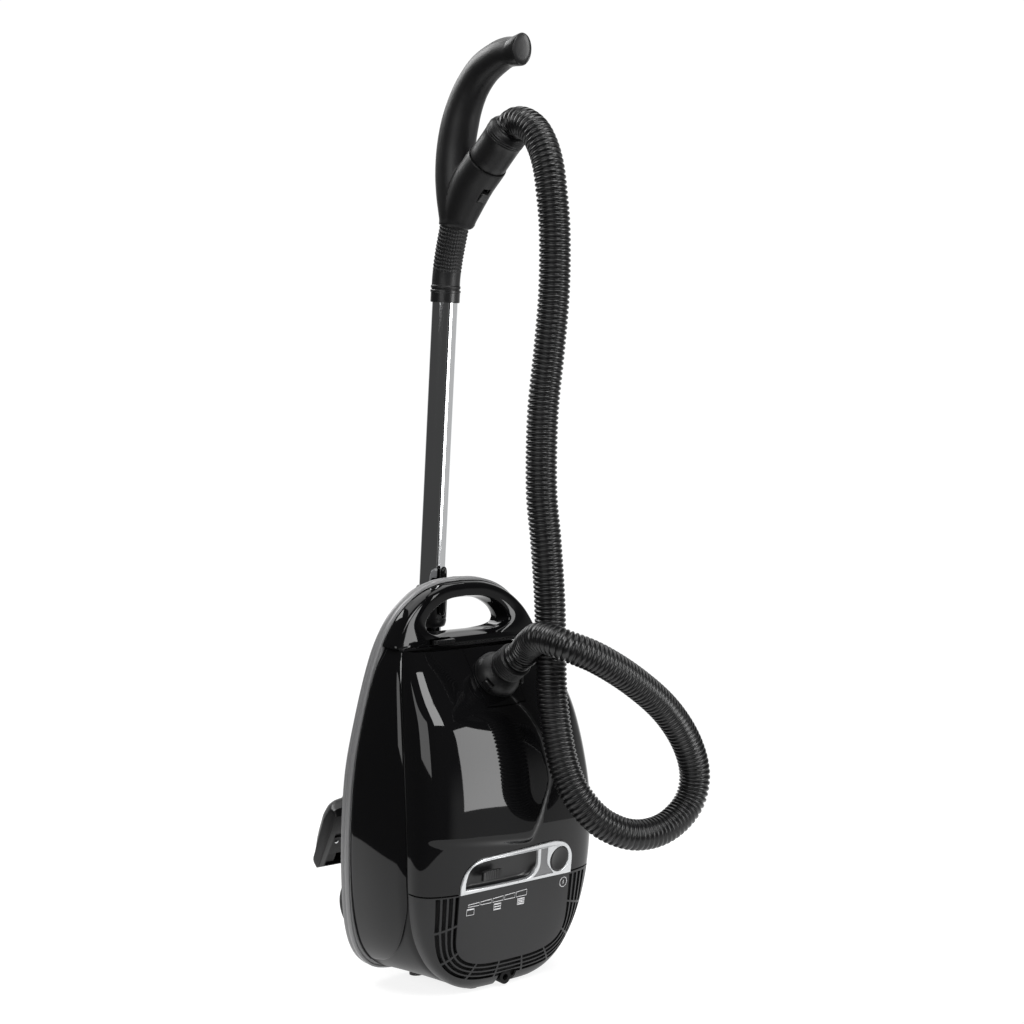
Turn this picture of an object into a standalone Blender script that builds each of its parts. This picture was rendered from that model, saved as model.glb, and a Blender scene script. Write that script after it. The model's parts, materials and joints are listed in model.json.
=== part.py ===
"""Canister vacuum cleaner parked upright on its rear end, wand and nozzle hung behind it.

Metres, +Z up, the lid faces -Y.  The body and the wand lean forward by LEAN, so they are modelled
in a machine frame (X across, Y away from the lid, Z along the wand) that hangs on one empty.  The
feet and the hose are modelled upright, in the standing frame.
"""
import math

import bmesh
import bpy
from mathutils import Matrix, Vector

# ---- driving dimensions (metres, degrees where named so) -------------------------------------
LEAN = math.radians(4.5)
BASE_MIDDLE = 0.0262                      # puts the origin under the middle of the rigid parts' box
GAP = 0.0003
WALL = 0.0026

RIM_FRONT, RIM_BACK = -0.006, 0.008       # depth range of the bumper strip
RIM_DEPTH = 0.010                         # radial thickness of the bumper strip
BASE_BACK = 0.0255
SEAM_HEIGHT = 0.1460                      # joint line between grille and lid
HANDLE_BAR_BOTTOM = 0.4285
HANDLE_FRONT, HANDLE_SLOPE = -0.031, 0.16  # depth of the handle at its lower bar, and its rise
OPENING = dict(half_width=0.063, low=0.4385, high=0.4810)

WAND_DEPTH = 0.050                        # wand axis behind the rim plane
LOWER_TUBE = dict(radius=0.0150, bore=0.0138, low=0.2520, high=0.8000)
UPPER_TUBE = dict(radius=0.01635, bore=0.0153, low=0.4560, high=0.8640)

WHEEL = dict(radius=0.033, width=0.020, bore=0.0046, across=0.1215, depth=0.0115, height=0.098)
CASTOR = dict(radius=0.012, width=0.012, height=0.385)
HOSE_RADIUS = 0.019

BRIDGE_HALF_WIDTH, BRIDGE_LOW = 0.0325, 0.3640
GRILLE_LOW = 0.0125
LID_TOP = 0.4270
FRAME_OUTLINE = [(-0.0885, SEAM_HEIGHT + 0.0006), (0.0900, SEAM_HEIGHT + 0.0006), (0.0900, 0.1640),
                 (0.0835, 0.1790), (0.0700, 0.1890), (0.0560, 0.1915), (-0.0550, 0.1880),
                 (-0.0720, 0.1835), (-0.0835, 0.1740), (-0.0885, 0.1620)]
BUTTON_CENTRE = (0.0665, 0.1680)          # round button on the control frame (X, Z)
END_WALL_SLOPE = 0.0094                   # rise of the rear end wall towards the wheels
FOOT_RADIUS = 0.0090

SOCKET = Vector((0.0, -0.0832, 0.3945))   # where the hose enters the body
SOCKET_UP = math.radians(38)
CATCH_REACH, CATCH_ANGLE = 0.0303, math.radians(28)
BRANCH_START = Vector((0.0, 0.0267, 0.9764))
MOUTH_UP = math.radians(45)
MOUTH_REACH = 0.0665

NOZZLE_TILT = math.radians(24)
HEAD_HALF_WIDTH = 0.1300
# Side profile of the head (Y, Z) about its hinge, sole on the low Y side, front edge at the bottom.
SOLE_DEPTH = -0.0288                       # sole plane, measured from the head's hinge
HEAD_MIDDLE = [(-0.0288, 0.0040), (-0.0288, -0.0800), (-0.0240, -0.0840), (-0.0120, -0.0810),
               (0.0020, -0.0720), (0.0130, -0.0560), (0.0185, -0.0260), (0.0180, -0.0040),
               (0.0060, 0.0085), (-0.0200, 0.0115)]
HEAD_END = [(-0.0288, 0.0030), (-0.0288, -0.0780), (-0.0250, -0.0830), (-0.0142, -0.0787),
            (-0.0120, -0.0650), (-0.0100, -0.0500), (-0.0085, -0.0300), (-0.0080, -0.0153),
            (-0.0130, 0.0020), (-0.0217, 0.0075)]

# Right half of the widest outline, from bottom centre up to the top of the carry handle (X, Z).
OUTER_OUTLINE = [(0.0, 0.0120), (0.045, 0.0120), (0.086, 0.0130), (0.115, 0.0220), (0.1375, 0.0460),
                 (0.1505, 0.0850), (0.1575, 0.1450), (0.1600, 0.2100), (0.1580, 0.2750),
                 (0.1480, 0.3350), (0.1335, 0.3970), (0.1190, 0.4370), (0.0985, 0.4680),
                 (0.0700, 0.4910), (0.0370, 0.5030), (0.0, 0.5060)]

# Matching right half of the front crease (X, Y, Z) and of the housing edge behind it (X, Z).
CREASE = [(0.0, -0.1120, 0.0115), (0.030, -0.1120, 0.0115), (0.058, -0.1110, 0.0160),
          (0.087, -0.1080, 0.0310), (0.111, -0.1050, 0.0560), (0.130, -0.1040, 0.0950),
          (0.140, -0.1050, 0.1500), (0.1405, -0.0990, 0.2150), (0.1365, -0.0850, 0.2850),
          (0.1290, -0.0670, 0.3500), (0.1170, -0.0450, 0.4050), (0.1080, -0.0330, 0.4275)]
HOUSING_EDGE = [(0.0, 0.0125), (0.040, 0.0125), (0.079, 0.0145), (0.107, 0.0250), (0.1300, 0.0500),
                (0.1440, 0.0900), (0.1520, 0.1480), (0.1545, 0.2120), (0.1520, 0.2780),
                (0.1425, 0.3380), (0.1280, 0.3960), (0.1140, 0.4275)]
# Depth of the lid and grille along the centre line (Z, Y).
CENTRE_LINE = [(0.0115, -0.1150), (0.0160, -0.1260), (0.0310, -0.1350), (0.0560, -0.1395),
               (0.0950, -0.1420), (0.1500, -0.1440), (0.2150, -0.1480), (0.2500, -0.1455),
               (0.2850, -0.1380), (0.3200, -0.1270), (0.3500, -0.1140), (0.3800, -0.0930),
               (0.4050, -0.0740), (0.4275, -0.0560)]

# Route of the hose, hand to body, upright in the standing frame.
HOSE_ROUTE = [(0.000, -0.1401, 1.0525), (0.000, -0.1470, 1.0584), (0.000, -0.1565, 1.0604),
              (0.000, -0.1710, 1.0568), (0.000, -0.1865, 1.0470), (0.000, -0.1995, 1.0300),
              (0.000, -0.2095, 1.0070), (0.001, -0.2145, 0.9780), (0.006, -0.2150, 0.9290), (0.008, -0.2120, 0.8590),
              (0.005, -0.2070, 0.7900), (-0.001, -0.2020, 0.7100), (-0.001, -0.2000, 0.6220),
              (0.006, -0.2000, 0.5600), (0.014, -0.1980, 0.4900), (0.017, -0.1970, 0.4300),
              (0.017, -0.1990, 0.3760), (0.018, -0.2070, 0.3260), (0.021, -0.2200, 0.2800),
              (0.030, -0.2370, 0.2460), (0.052, -0.2530, 0.2180), (0.087, -0.2690, 0.2020),
              (0.130, -0.2780, 0.2050), (0.166, -0.2830, 0.2290), (0.177, -0.2850, 0.2660),
              (0.162, -0.2850, 0.3090), (0.126, -0.2840, 0.3530), (0.076, -0.2800, 0.3920),
              (0.025, -0.2720, 0.4230), (-0.010, -0.2540, 0.4400), (-0.018, -0.2210, 0.4470),
              (-0.008, -0.1900, 0.4370), (0.000, -0.1668, 0.4217), (0.000, -0.1534, 0.4129)]

for old in list(bpy.context.scene.objects):
    bpy.data.objects.remove(old, do_unlink=True)


# ---- materials --------------------------------------------------------------------------------
def make_material(name, colour, roughness, metallic=0.0, alpha=1.0):
    material = bpy.data.materials.new(name)
    material.use_nodes = True
    shader = material.node_tree.nodes["Principled BSDF"]
    shader.inputs["Base Color"].default_value = (*colour, 1.0)
    shader.inputs["Roughness"].default_value = roughness
    shader.inputs["Metallic"].default_value = metallic
    shader.inputs["Alpha"].default_value = alpha
    return material


GLOSS_BLACK = make_material("gloss_black", (0.010, 0.010, 0.011), 0.10)
SATIN_BLACK = make_material("satin_black", (0.020, 0.020, 0.022), 0.38)
MATTE_BLACK = make_material("matte_black", (0.014, 0.014, 0.015), 0.60)
GREY_STRIP = make_material("grey_strip", (0.115, 0.115, 0.118), 0.42)
SILVER_PLASTIC = make_material("silver_plastic", (0.52, 0.53, 0.54), 0.30, 0.55)
CHROME = make_material("chrome", (0.72, 0.73, 0.74), 0.07, 1.0)
STEEL = make_material("steel", (0.45, 0.45, 0.46), 0.30, 1.0)
RUBBER = make_material("rubber", (0.022, 0.022, 0.022), 0.80)
CLEAR_SMOKE = make_material("clear_smoke", (0.20, 0.20, 0.21), 0.12, 0.0, 0.6)
FILTER_WHITE = make_material("filter_white", (0.75, 0.75, 0.72), 0.90)
BAG_PAPER = make_material("bag_paper", (0.55, 0.50, 0.42), 0.92)
BOARD_GREEN = make_material("board_green", (0.02, 0.16, 0.06), 0.50)
COIL_GREY = make_material("motor_grey", (0.30, 0.30, 0.31), 0.45)


# ---- frames and mesh helpers ------------------------------------------------------------------
def make_empty(name, location=(0, 0, 0), rotation=None, parent=None):
    empty = bpy.data.objects.new(name, None)
    bpy.context.collection.objects.link(empty)
    if parent is not None:
        empty.parent = parent
    frame = rotation.to_4x4() if rotation is not None else Matrix.Identity(4)
    frame.translation = Vector(location)
    empty.matrix_local = frame
    return empty


STANDING = make_empty("standing_frame", (0, BASE_MIDDLE, 0))
MACHINE = make_empty("machine_frame", rotation=Matrix.Rotation(LEAN, 3, "X"), parent=STANDING)


def axis_frame(direction):
    """Rotation that takes +Z to the given direction."""
    return Vector((0, 0, 1)).rotation_difference(Vector(direction)).to_matrix()


def add_mesh(name, mesh_data, material, parent=MACHINE, location=(0, 0, 0), rotation=None, smooth=35):
    bmesh.ops.recalc_face_normals(mesh_data, faces=mesh_data.faces)
    mesh = bpy.data.meshes.new(name)
    mesh_data.to_mesh(mesh)
    mesh_data.free()
    mesh.shade_smooth()
    mesh.set_sharp_from_angle(angle=math.radians(smooth))
    mesh.materials.append(material)
    made = bpy.data.objects.new(name, mesh)
    bpy.context.collection.objects.link(made)
    if parent is not None:
        made.parent = parent
    frame = rotation.to_4x4() if rotation is not None else Matrix.Identity(4)
    frame.translation = Vector(location)
    made.matrix_local = frame
    return made


def stack_loops(name, loops, material, closed=False, **placing):
    """Bridge rings of equal size; either close the stack on itself or cap both ends."""
    data = bmesh.new()
    rings = [[data.verts.new(point) for point in loop] for loop in loops]
    count = len(rings[0])
    pairs = list(zip(rings, rings[1:])) + ([(rings[-1], rings[0])] if closed else [])
    for low, high in pairs:
        for i in range(count):
            j = (i + 1) % count
            data.faces.new((low[i], low[j], high[j], high[i]))
    if not closed:
        data.faces.new(list(reversed(rings[0])))
        data.faces.new(rings[-1])
    return add_mesh(name, data, material, **placing)


def circle(radius, height, count=24, squash=1.0):
    steps = [2 * math.pi * i / count for i in range(count)]
    return [(radius * math.cos(a), radius * squash * math.sin(a), height) for a in steps]


def turned(name, profile, material, count=24, hollow=False, **placing):
    """Solid of revolution about local Z; a hollow one has a closed profile off the axis."""
    loops = [circle(radius, height, count) for radius, height in profile]
    return stack_loops(name, loops, material, closed=hollow, **placing)


def tube(name, radius, bore, low, high, material, count=24, **placing):
    profile = [(radius, low), (radius, high), (bore, high), (bore, low)]
    return turned(name, profile, material, count, hollow=True, **placing)


def bevelled_box(name, size, material, bevel=0.002, segments=2, **placing):
    data = bmesh.new()
    bmesh.ops.create_cube(data, size=1.0)
    bmesh.ops.scale(data, vec=size, verts=data.verts)
    made = add_mesh(name, data, material, **placing)
    if bevel:
        edge = made.modifiers.new("edge", "BEVEL")
        edge.width = bevel
        edge.segments = segments
    return made


def combine(target, other, operation, solver="EXACT"):
    """Boolean step with a helper shape, which the build leaves out."""
    other.hide_render = True
    other.display_type = "WIRE"
    step = target.modifiers.new(operation.lower(), "BOOLEAN")
    step.operation = operation
    step.solver = solver
    step.object = other


def cut(target, cutter, solver="EXACT"):
    combine(target, cutter, "DIFFERENCE", solver)


def weld(target, other):
    combine(target, other, "UNION")


def smooth_curve(points, count):
    """Even samples on a Catmull-Rom curve through the points."""
    points = [Vector(p) for p in points]
    ends = [2 * points[0] - points[1]] + points + [2 * points[-1] - points[-2]]
    dense = []
    for p0, p1, p2, p3 in zip(ends, ends[1:], ends[2:], ends[3:]):
        for k in range(16):
            t = k / 16
            dense.append(0.5 * (2 * p1 + (p2 - p0) * t + (2 * p0 - 5 * p1 + 4 * p2 - p3) * t * t
                                + (3 * p1 - p0 - 3 * p2 + p3) * t ** 3))
    dense.append(points[-1])
    return resample(dense, count)


def resample(dense, count):
    lengths = [0.0]
    for a, b in zip(dense, dense[1:]):
        lengths.append(lengths[-1] + (b - a).length)
    samples, k = [], 0
    for i in range(count):
        goal = lengths[-1] * i / (count - 1)
        while k < len(lengths) - 2 and lengths[k + 1] < goal:
            k += 1
        share = (goal - lengths[k]) / (lengths[k + 1] - lengths[k])
        samples.append(dense[k].lerp(dense[k + 1], share))
    return samples


def value_at(table, x):
    """Smooth value between the rows of a table of (x, value), with flat ends."""
    if x <= table[0][0]:
        return table[0][1]
    for (x0, y0), (x1, y1) in zip(table, table[1:]):
        if x <= x1:
            break
    if x >= table[-1][0]:
        return table[-1][1]
    i = table.index((x0, y0))
    before = table[max(i - 1, 0)]
    after = table[min(i + 2, len(table) - 1)]
    m0 = (y1 - before[1]) / (x1 - before[0])
    m1 = (after[1] - y0) / (after[0] - x0)
    h = x1 - x0
    t = (x - x0) / h
    return ((2 * t ** 3 - 3 * t * t + 1) * y0 + (t ** 3 - 2 * t * t + t) * h * m0
            + (3 * t * t - 2 * t ** 3) * y1 + (t ** 3 - t * t) * h * m1)


def mirrored_loop(half):
    """Close a right half outline, bottom centre to top centre, with its mirror image."""
    return list(half) + [Vector((-p[0], *p[1:])) for p in reversed(half[1:-1])]


def inset_outline(half, distance):
    """Move a right half outline of (X, Z) points inwards by a distance."""
    moved = []
    for i, point in enumerate(half):
        before, after = half[max(i - 1, 0)], half[min(i + 1, len(half) - 1)]
        along = (after - before).normalized()
        normal = Vector((-along.y, along.x))
        if i == 0:
            normal = Vector((0, 1))
        if i == len(half) - 1:
            normal = Vector((0, -1))
        moved.append(point + normal * distance)
    return moved


def at_depth(outline, depth):
    return [Vector((p[0], depth, p[1])) for p in outline]


# ---- shared surfaces of the body --------------------------------------------------------------
CREASE_WIDTH = [(z, x) for x, _, z in CREASE[1:]]
CREASE_DEPTH = [(z, y) for _, y, z in CREASE[1:]]


def front_point(t, height, inset=0.0):
    """Point of the lid and grille surface; t runs from -1 on the left crease to 1 on the right."""
    half_width = value_at(CREASE_WIDTH, height) - inset
    edge = value_at(CREASE_DEPTH, height) - GAP
    centre = value_at(CENTRE_LINE, height) + inset
    crown = (1 - min(abs(t), 1.0) ** 4) ** (1 / 3)
    return Vector((t * half_width, edge + (centre - edge) * crown, height))


def front_depth(x, height):
    return front_point(x / value_at(CREASE_WIDTH, height), height).y


CROWN_STEPS = [0.0, 0.2, 0.4, 0.58, 0.74, 0.86, 0.94, 0.985, 1.0]
CROWN_ROW = [-t for t in reversed(CROWN_STEPS[1:])] + CROWN_STEPS


def front_shell(name, heights, material, row=tuple(CROWN_ROW), **placing):
    """Shell of wall thickness on the front surface, between the lowest and the highest row."""
    data = bmesh.new()
    outer = [[data.verts.new(front_point(t, h)) for t in row] for h in heights]
    inner = [[data.verts.new(front_point(t, h, WALL)) for t in row] for h in heights]
    for i in range(len(heights) - 1):
        for j in range(len(row) - 1):
            data.faces.new((outer[i][j], outer[i][j + 1], outer[i + 1][j + 1], outer[i + 1][j]))
            data.faces.new((inner[i][j], inner[i + 1][j], inner[i + 1][j + 1], inner[i][j + 1]))
    for j in range(len(row) - 1):
        data.faces.new((outer[0][j], inner[0][j], inner[0][j + 1], outer[0][j + 1]))
        data.faces.new((outer[-1][j], outer[-1][j + 1], inner[-1][j + 1], inner[-1][j]))
    for i in range(len(heights) - 1):
        data.faces.new((outer[i][0], outer[i + 1][0], inner[i + 1][0], inner[i][0]))
        data.faces.new((outer[i][-1], inner[i][-1], inner[i + 1][-1], outer[i + 1][-1]))
    return add_mesh(name, data, material, **placing)


def prism(name, outline, front, back, material=GLOSS_BLACK, **placing):
    """Straight prism along Y over an outline of (X, Z) points."""
    return stack_loops(name, [at_depth(outline, front), at_depth(outline, back)], material, **placing)


def rounded_corners(corners, radius, steps=4):
    """Round the corners of a convex outline of (X, Z) points."""
    points = []
    count = len(corners)
    for i in range(count):
        here = Vector(corners[i])
        a = (Vector(corners[i - 1]) - here).normalized()
        b = (Vector(corners[(i + 1) % count]) - here).normalized()
        for k in range(steps + 1):
            s = k / steps
            points.append(here + radius * ((1 - s) ** 2 * a + s * s * b))
    return points


# ---- body shells ------------------------------------------------------------------------------
def make_main_housing():
    """Ring wall of the body between the bumper strip and the front crease."""
    edge = smooth_curve(HOUSING_EDGE, 22) + [Vector((0.0, HOUSING_EDGE[-1][1]))]
    crease = smooth_curve(CREASE, 22) + [Vector((0.0, *CREASE[-1][1:]))]
    edge_inner = inset_outline(edge, WALL)
    back = [Vector((p[0], RIM_FRONT - GAP, p[1])) for p in edge]
    back_inner = [Vector((p[0], RIM_FRONT - GAP, p[1])) for p in edge_inner]
    front = [p + Vector((0, 0.0012, 0)) for p in crease]
    flat = inset_outline([Vector((p.x, p.z)) for p in crease], WALL)
    front_inner = [Vector((q[0], p.y, q[1])) for p, q in zip(front, flat)]
    middle = [a.lerp(b, 0.5) + bulge(a) * 0.003 for a, b in zip(back, front)]
    middle_inner = [a.lerp(b, 0.5) + bulge(a) * 0.003 for a, b in zip(back_inner, front_inner)]
    loops = [mirrored_loop(half) for half in
             (back, middle, front, front_inner, middle_inner, back_inner)]
    return stack_loops("main_housing", loops, SATIN_BLACK, closed=True)


def bulge(point):
    """Outward direction of a side wall point; none on the flat top and bottom walls."""
    return Vector((1, 0, 0)) if point.x > 0.12 else Vector((0, 0, 0))


def make_rim_bumper():
    """Grey strip that runs round the whole outline and over the carry handle."""
    outer = smooth_curve(OUTER_OUTLINE, 34)
    soft = 0.0022
    loops = [mirrored_loop(at_depth(inset_outline(outer, inset), depth)) for inset, depth in
             ((soft, RIM_FRONT), (0.0, RIM_FRONT + soft), (0.0, RIM_BACK - soft), (soft, RIM_BACK),
              (RIM_DEPTH, RIM_BACK), (RIM_DEPTH, RIM_FRONT))]
    return stack_loops("rim_bumper", loops, GREY_STRIP, closed=True)


def make_base_shell():
    """Underside tray, open towards the inside of the body, with the wheel pockets cut through."""
    outline = [Vector(p) for p in OUTER_OUTLINE[:11]]
    half = smooth_curve(outline + [Vector((0.118, 0.420)), Vector((0.085, 0.4265)),
                                   Vector((0.0, 0.4275))], 24)
    levels = ((0.010, RIM_BACK + GAP), (0.011, 0.0180), (0.0135, 0.0230), (0.020, BASE_BACK),
              (0.021, BASE_BACK - WALL), (0.0165, 0.0205), (0.0136, 0.0170), (0.0126, RIM_BACK + GAP))
    loops = [mirrored_loop(at_depth(inset_outline(half, inset), depth)) for inset, depth in levels]
    data = bmesh.new()
    rings = [[data.verts.new(p) for p in loop] for loop in loops]
    count = len(rings[0])
    for a, b in ((0, 1), (1, 2), (2, 3), (4, 5), (5, 6), (6, 7), (7, 0)):
        for i in range(count):
            j = (i + 1) % count
            data.faces.new((rings[a][i], rings[a][j], rings[b][j], rings[b][i]))
    data.faces.new(rings[3])
    data.faces.new(list(reversed(rings[4])))
    base = add_mesh("base_shell", data, MATTE_BLACK)
    for side in (-1, 1):
        reach = 2 * WHEEL["radius"] + 0.006
        pocket = bevelled_box(f"wheel_pocket_{side}", (WHEEL["width"] + 0.006, 0.06, reach),
                              MATTE_BLACK, bevel=0,
                              location=(side * WHEEL["across"], WHEEL["depth"], WHEEL["height"]))
        cut(base, pocket)
    well = turned("castor_well", [(0.0215, -0.01), (0.0215, 0.03)], MATTE_BLACK, 20,
                  location=(0, 0.015, CASTOR["height"]), rotation=axis_frame((0, 1, 0)))
    cut(base, well)
    return base


def make_carry_handle():
    """Arch over the finger opening, which sits behind a sloping rim, with its lower bar."""
    arch = smooth_curve([(0.1215, HANDLE_BAR_BOTTOM)] + OUTER_OUTLINE[11:], 13)
    opening_half = smooth_curve([(0.0, OPENING["low"]), (0.030, OPENING["low"]),
                                 (0.054, OPENING["low"] + 0.001),
                                 (OPENING["half_width"], OPENING["low"] + 0.011),
                                 (0.052, OPENING["low"] + 0.027), (0.028, OPENING["high"] - 0.003),
                                 (0.0, OPENING["high"])], 16)

    def outline(inset):
        """Lower bar from the centre to the corner, then the arch."""
        side = inset_outline([Vector((0.123, 0.41))] + arch, inset)[1:]
        side[0] = Vector((side[0].x, HANDLE_BAR_BOTTOM))
        bar = [Vector((side[0].x * share, HANDLE_BAR_BOTTOM)) for share in (0.0, 0.45, 0.85)]
        return bar + side

    def sloped(points, extra=0.0):
        return [Vector((p.x, HANDLE_FRONT + extra + (p.y - HANDLE_BAR_BOTTOM) * HANDLE_SLOPE, p.y))
                for p in points]

    front_edge = outline(0.0085)
    ridge = [inner.lerp(outer, 0.30) for inner, outer in zip(opening_half, front_edge)]
    loops = [at_depth(outline(0.0118), RIM_FRONT + 0.012), at_depth(outline(0.0118), RIM_FRONT - GAP),
             at_depth(outline(0.0035), RIM_FRONT - GAP), sloped(outline(0.0050), 0.004),
             sloped(front_edge), sloped(ridge, 0.0010), sloped(opening_half, 0.020),
             at_depth(opening_half, RIM_FRONT + 0.012)]
    return stack_loops("carry_handle", [mirrored_loop(loop) for loop in loops], GLOSS_BLACK,
                       closed=True)


def make_side_panels():
    """Gloss leaf-shaped inserts on both side walls."""
    count = 22
    edge = smooth_curve(HOUSING_EDGE, count)
    crease = smooth_curve(CREASE, count)
    first, last = 6, count - 2
    for side, label in ((1, "right"), (-1, "left")):
        rows = []
        for i in range(first, last + 1):
            back = Vector((edge[i][0], RIM_FRONT - GAP, edge[i][1]))
            front = crease[i] + Vector((0, 0.0012, 0))
            middle = back.lerp(front, 0.5) + bulge(back) * 0.003
            reach = min(1.0, 0.45 + 0.2 * (i - first))
            outward = (front - back).cross(Vector((0, 0, 1))).normalized()
            if outward.x < 0:
                outward = -outward
            stations = (0.03, 0.5, 0.5 + 0.47 * reach)
            row = []
            for s in stations:
                point = back.lerp(middle, s * 2) if s <= 0.5 else middle.lerp(front, s * 2 - 1)
                row.append((point, outward))
            rows.append(row)
        data = bmesh.new()
        lift_in, lift_out = GAP + 0.0002, 0.0022
        outer = [[data.verts.new(flipped(p + n * lift_out, side)) for p, n in row] for row in rows]
        inner = [[data.verts.new(flipped(p + n * lift_in, side)) for p, n in row] for row in rows]
        skin_grid(data, outer, inner)
        add_mesh(f"side_panel_{label}", data, GLOSS_BLACK)


def flipped(point, side):
    return Vector((point.x * side, point.y, point.z))


def skin_grid(data, outer, inner):
    """Close two matching grids of vertices into one thin solid."""
    rows, cols = len(outer), len(outer[0])
    for i in range(rows - 1):
        for j in range(cols - 1):
            data.faces.new((outer[i][j], outer[i][j + 1], outer[i + 1][j + 1], outer[i + 1][j]))
            data.faces.new((inner[i][j], inner[i + 1][j], inner[i + 1][j + 1], inner[i][j + 1]))
        data.faces.new((outer[i][0], outer[i + 1][0], inner[i + 1][0], inner[i][0]))
        data.faces.new((outer[i][-1], inner[i][-1], inner[i + 1][-1], outer[i + 1][-1]))
    for j in range(cols - 1):
        data.faces.new((outer[0][j], inner[0][j], inner[0][j + 1], outer[0][j + 1]))
        data.faces.new((outer[-1][j], outer[-1][j + 1], inner[-1][j + 1], inner[-1][j]))


make_main_housing()
make_rim_bumper()
make_base_shell()
make_carry_handle()
make_side_panels()


# ---- front: lid, grille and controls ------------------------------------------------------------
SOCKET_AXIS = Vector((0.0, -math.cos(SOCKET_UP), math.sin(SOCKET_UP)))
MOUTH_AXIS = Vector((0.0, -math.cos(MOUTH_UP), math.sin(MOUTH_UP)))
LID_HINGE = make_empty("lid_hinge_axis", (0, -0.1450, SEAM_HEIGHT + 0.0015), parent=MACHINE)
GRILLE_HINGE = make_empty("grille_hinge_axis", (0, -0.1120, GRILLE_LOW), parent=MACHINE)


def relocate(made, pivot):
    """Give an object its pivot as origin and parent, without moving it."""
    made.data.transform(Matrix.Translation(-pivot.location))
    made.parent = pivot
    made.matrix_local = Matrix.Identity(4)


def make_lid():
    heights = [SEAM_HEIGHT + 2 * GAP, 0.170, 0.195, 0.225, 0.255, 0.285, 0.315, 0.345, 0.372, 0.397,
               0.414, LID_TOP]
    lid = front_shell("lid", heights, GLOSS_BLACK)
    relocate(lid, LID_HINGE)
    notch = prism("control_notch", rounded_corners(
        [(-0.0895, SEAM_HEIGHT - 0.01), (0.0910, SEAM_HEIGHT - 0.01), (0.0910, 0.1643),
         (0.0842, 0.1797), (0.0704, 0.1899), (0.0561, 0.1924), (-0.0552, 0.1889), (-0.0724, 0.1843),
         (-0.0843, 0.1745), (-0.0895, 0.1622)], 0.005), -0.17, -0.10)
    cut(lid, notch)
    width = BRIDGE_HALF_WIDTH + 0.0006
    cut(lid, prism("inlet_notch", rounded_corners(
        [(-width, BRIDGE_LOW - 0.0006), (width, BRIDGE_LOW - 0.0006), (width, 0.46), (-width, 0.46)],
        0.0005, 1), -0.17, 0.02))


def make_inlet_bridge():
    """Fixed strip of the front under the carry handle, which carries the hose socket."""
    heights = [BRIDGE_LOW + 0.001, 0.380, 0.397, 0.414, LID_TOP]
    limit = 0.31
    row = [limit * k / 3 for k in range(-3, 4)]
    data_rows = []
    for height in heights:
        half = value_at(CREASE_WIDTH, height)
        data_rows.append([BRIDGE_HALF_WIDTH * t / limit / half for t in row])
    data = bmesh.new()
    outer = [[data.verts.new(front_point(t, h)) for t in ts] for h, ts in zip(heights, data_rows)]
    inner = [[data.verts.new(front_point(t, h) + Vector((0, 0.006, 0))) for t in ts]
             for h, ts in zip(heights, data_rows)]
    skin_grid(data, outer, inner)
    bridge = add_mesh("inlet_bridge", data, GLOSS_BLACK)
    cut(bridge, turned("inlet_bore", [(0.0160, -0.03), (0.0160, 0.03)], GLOSS_BLACK, 24,
                       location=SOCKET, rotation=axis_frame(SOCKET_AXIS)))


def u_path(scale, count):
    """U-shaped slot line on the grille: half ellipse under a straight run, as (X, Z) points."""
    half_width, low, bend = 0.084 + 0.0115 * scale, 0.050 - 0.0072 * scale, 0.088
    points = [Vector((-half_width, SEAM_HEIGHT - 0.008)), Vector((-half_width, bend + 0.012))]
    for k in range(13):
        a = math.pi * k / 12
        points.append(Vector((-half_width * math.cos(a), bend - (bend - low) * math.sin(a) ** 0.8)))
    points += [Vector((half_width, bend + 0.012)), Vector((half_width, SEAM_HEIGHT - 0.008))]
    return resample(points, count)


def make_grille():
    heights = [GRILLE_LOW, 0.0165, 0.0230, 0.0330, 0.0470, 0.0650, 0.0850, 0.1050, 0.1250, SEAM_HEIGHT]
    grille = front_shell("exhaust_grille", heights, SATIN_BLACK)
    relocate(grille, GRILLE_HINGE)
    cutters = bmesh.new()
    for row, slots in ((0.7, 9), (2.4, 11)):
        path = u_path(row, 4 * slots + 1)
        for k in range(slots):
            start, end = path[4 * k], path[4 * k + 3]
            middle, along = (start + end) / 2, end - start
            angle = math.atan2(along.y, along.x)
            box = bmesh.ops.create_cube(cutters, size=1.0)["verts"]
            bmesh.ops.scale(cutters, vec=(along.length, 0.09, 0.0042), verts=box)
            bmesh.ops.rotate(cutters, matrix=Matrix.Rotation(-angle, 3, "Y"), verts=box)
            bmesh.ops.translate(cutters, vec=(middle.x, -0.155, middle.y), verts=box)
    cut(grille, add_mesh("grille_slots", cutters, SATIN_BLACK))
    cut(grille, bevelled_box("outlet_notch", (0.0220, 0.06, 0.0400), SATIN_BLACK, bevel=0,
                             location=(0, -0.130, 0.0130)))


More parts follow.
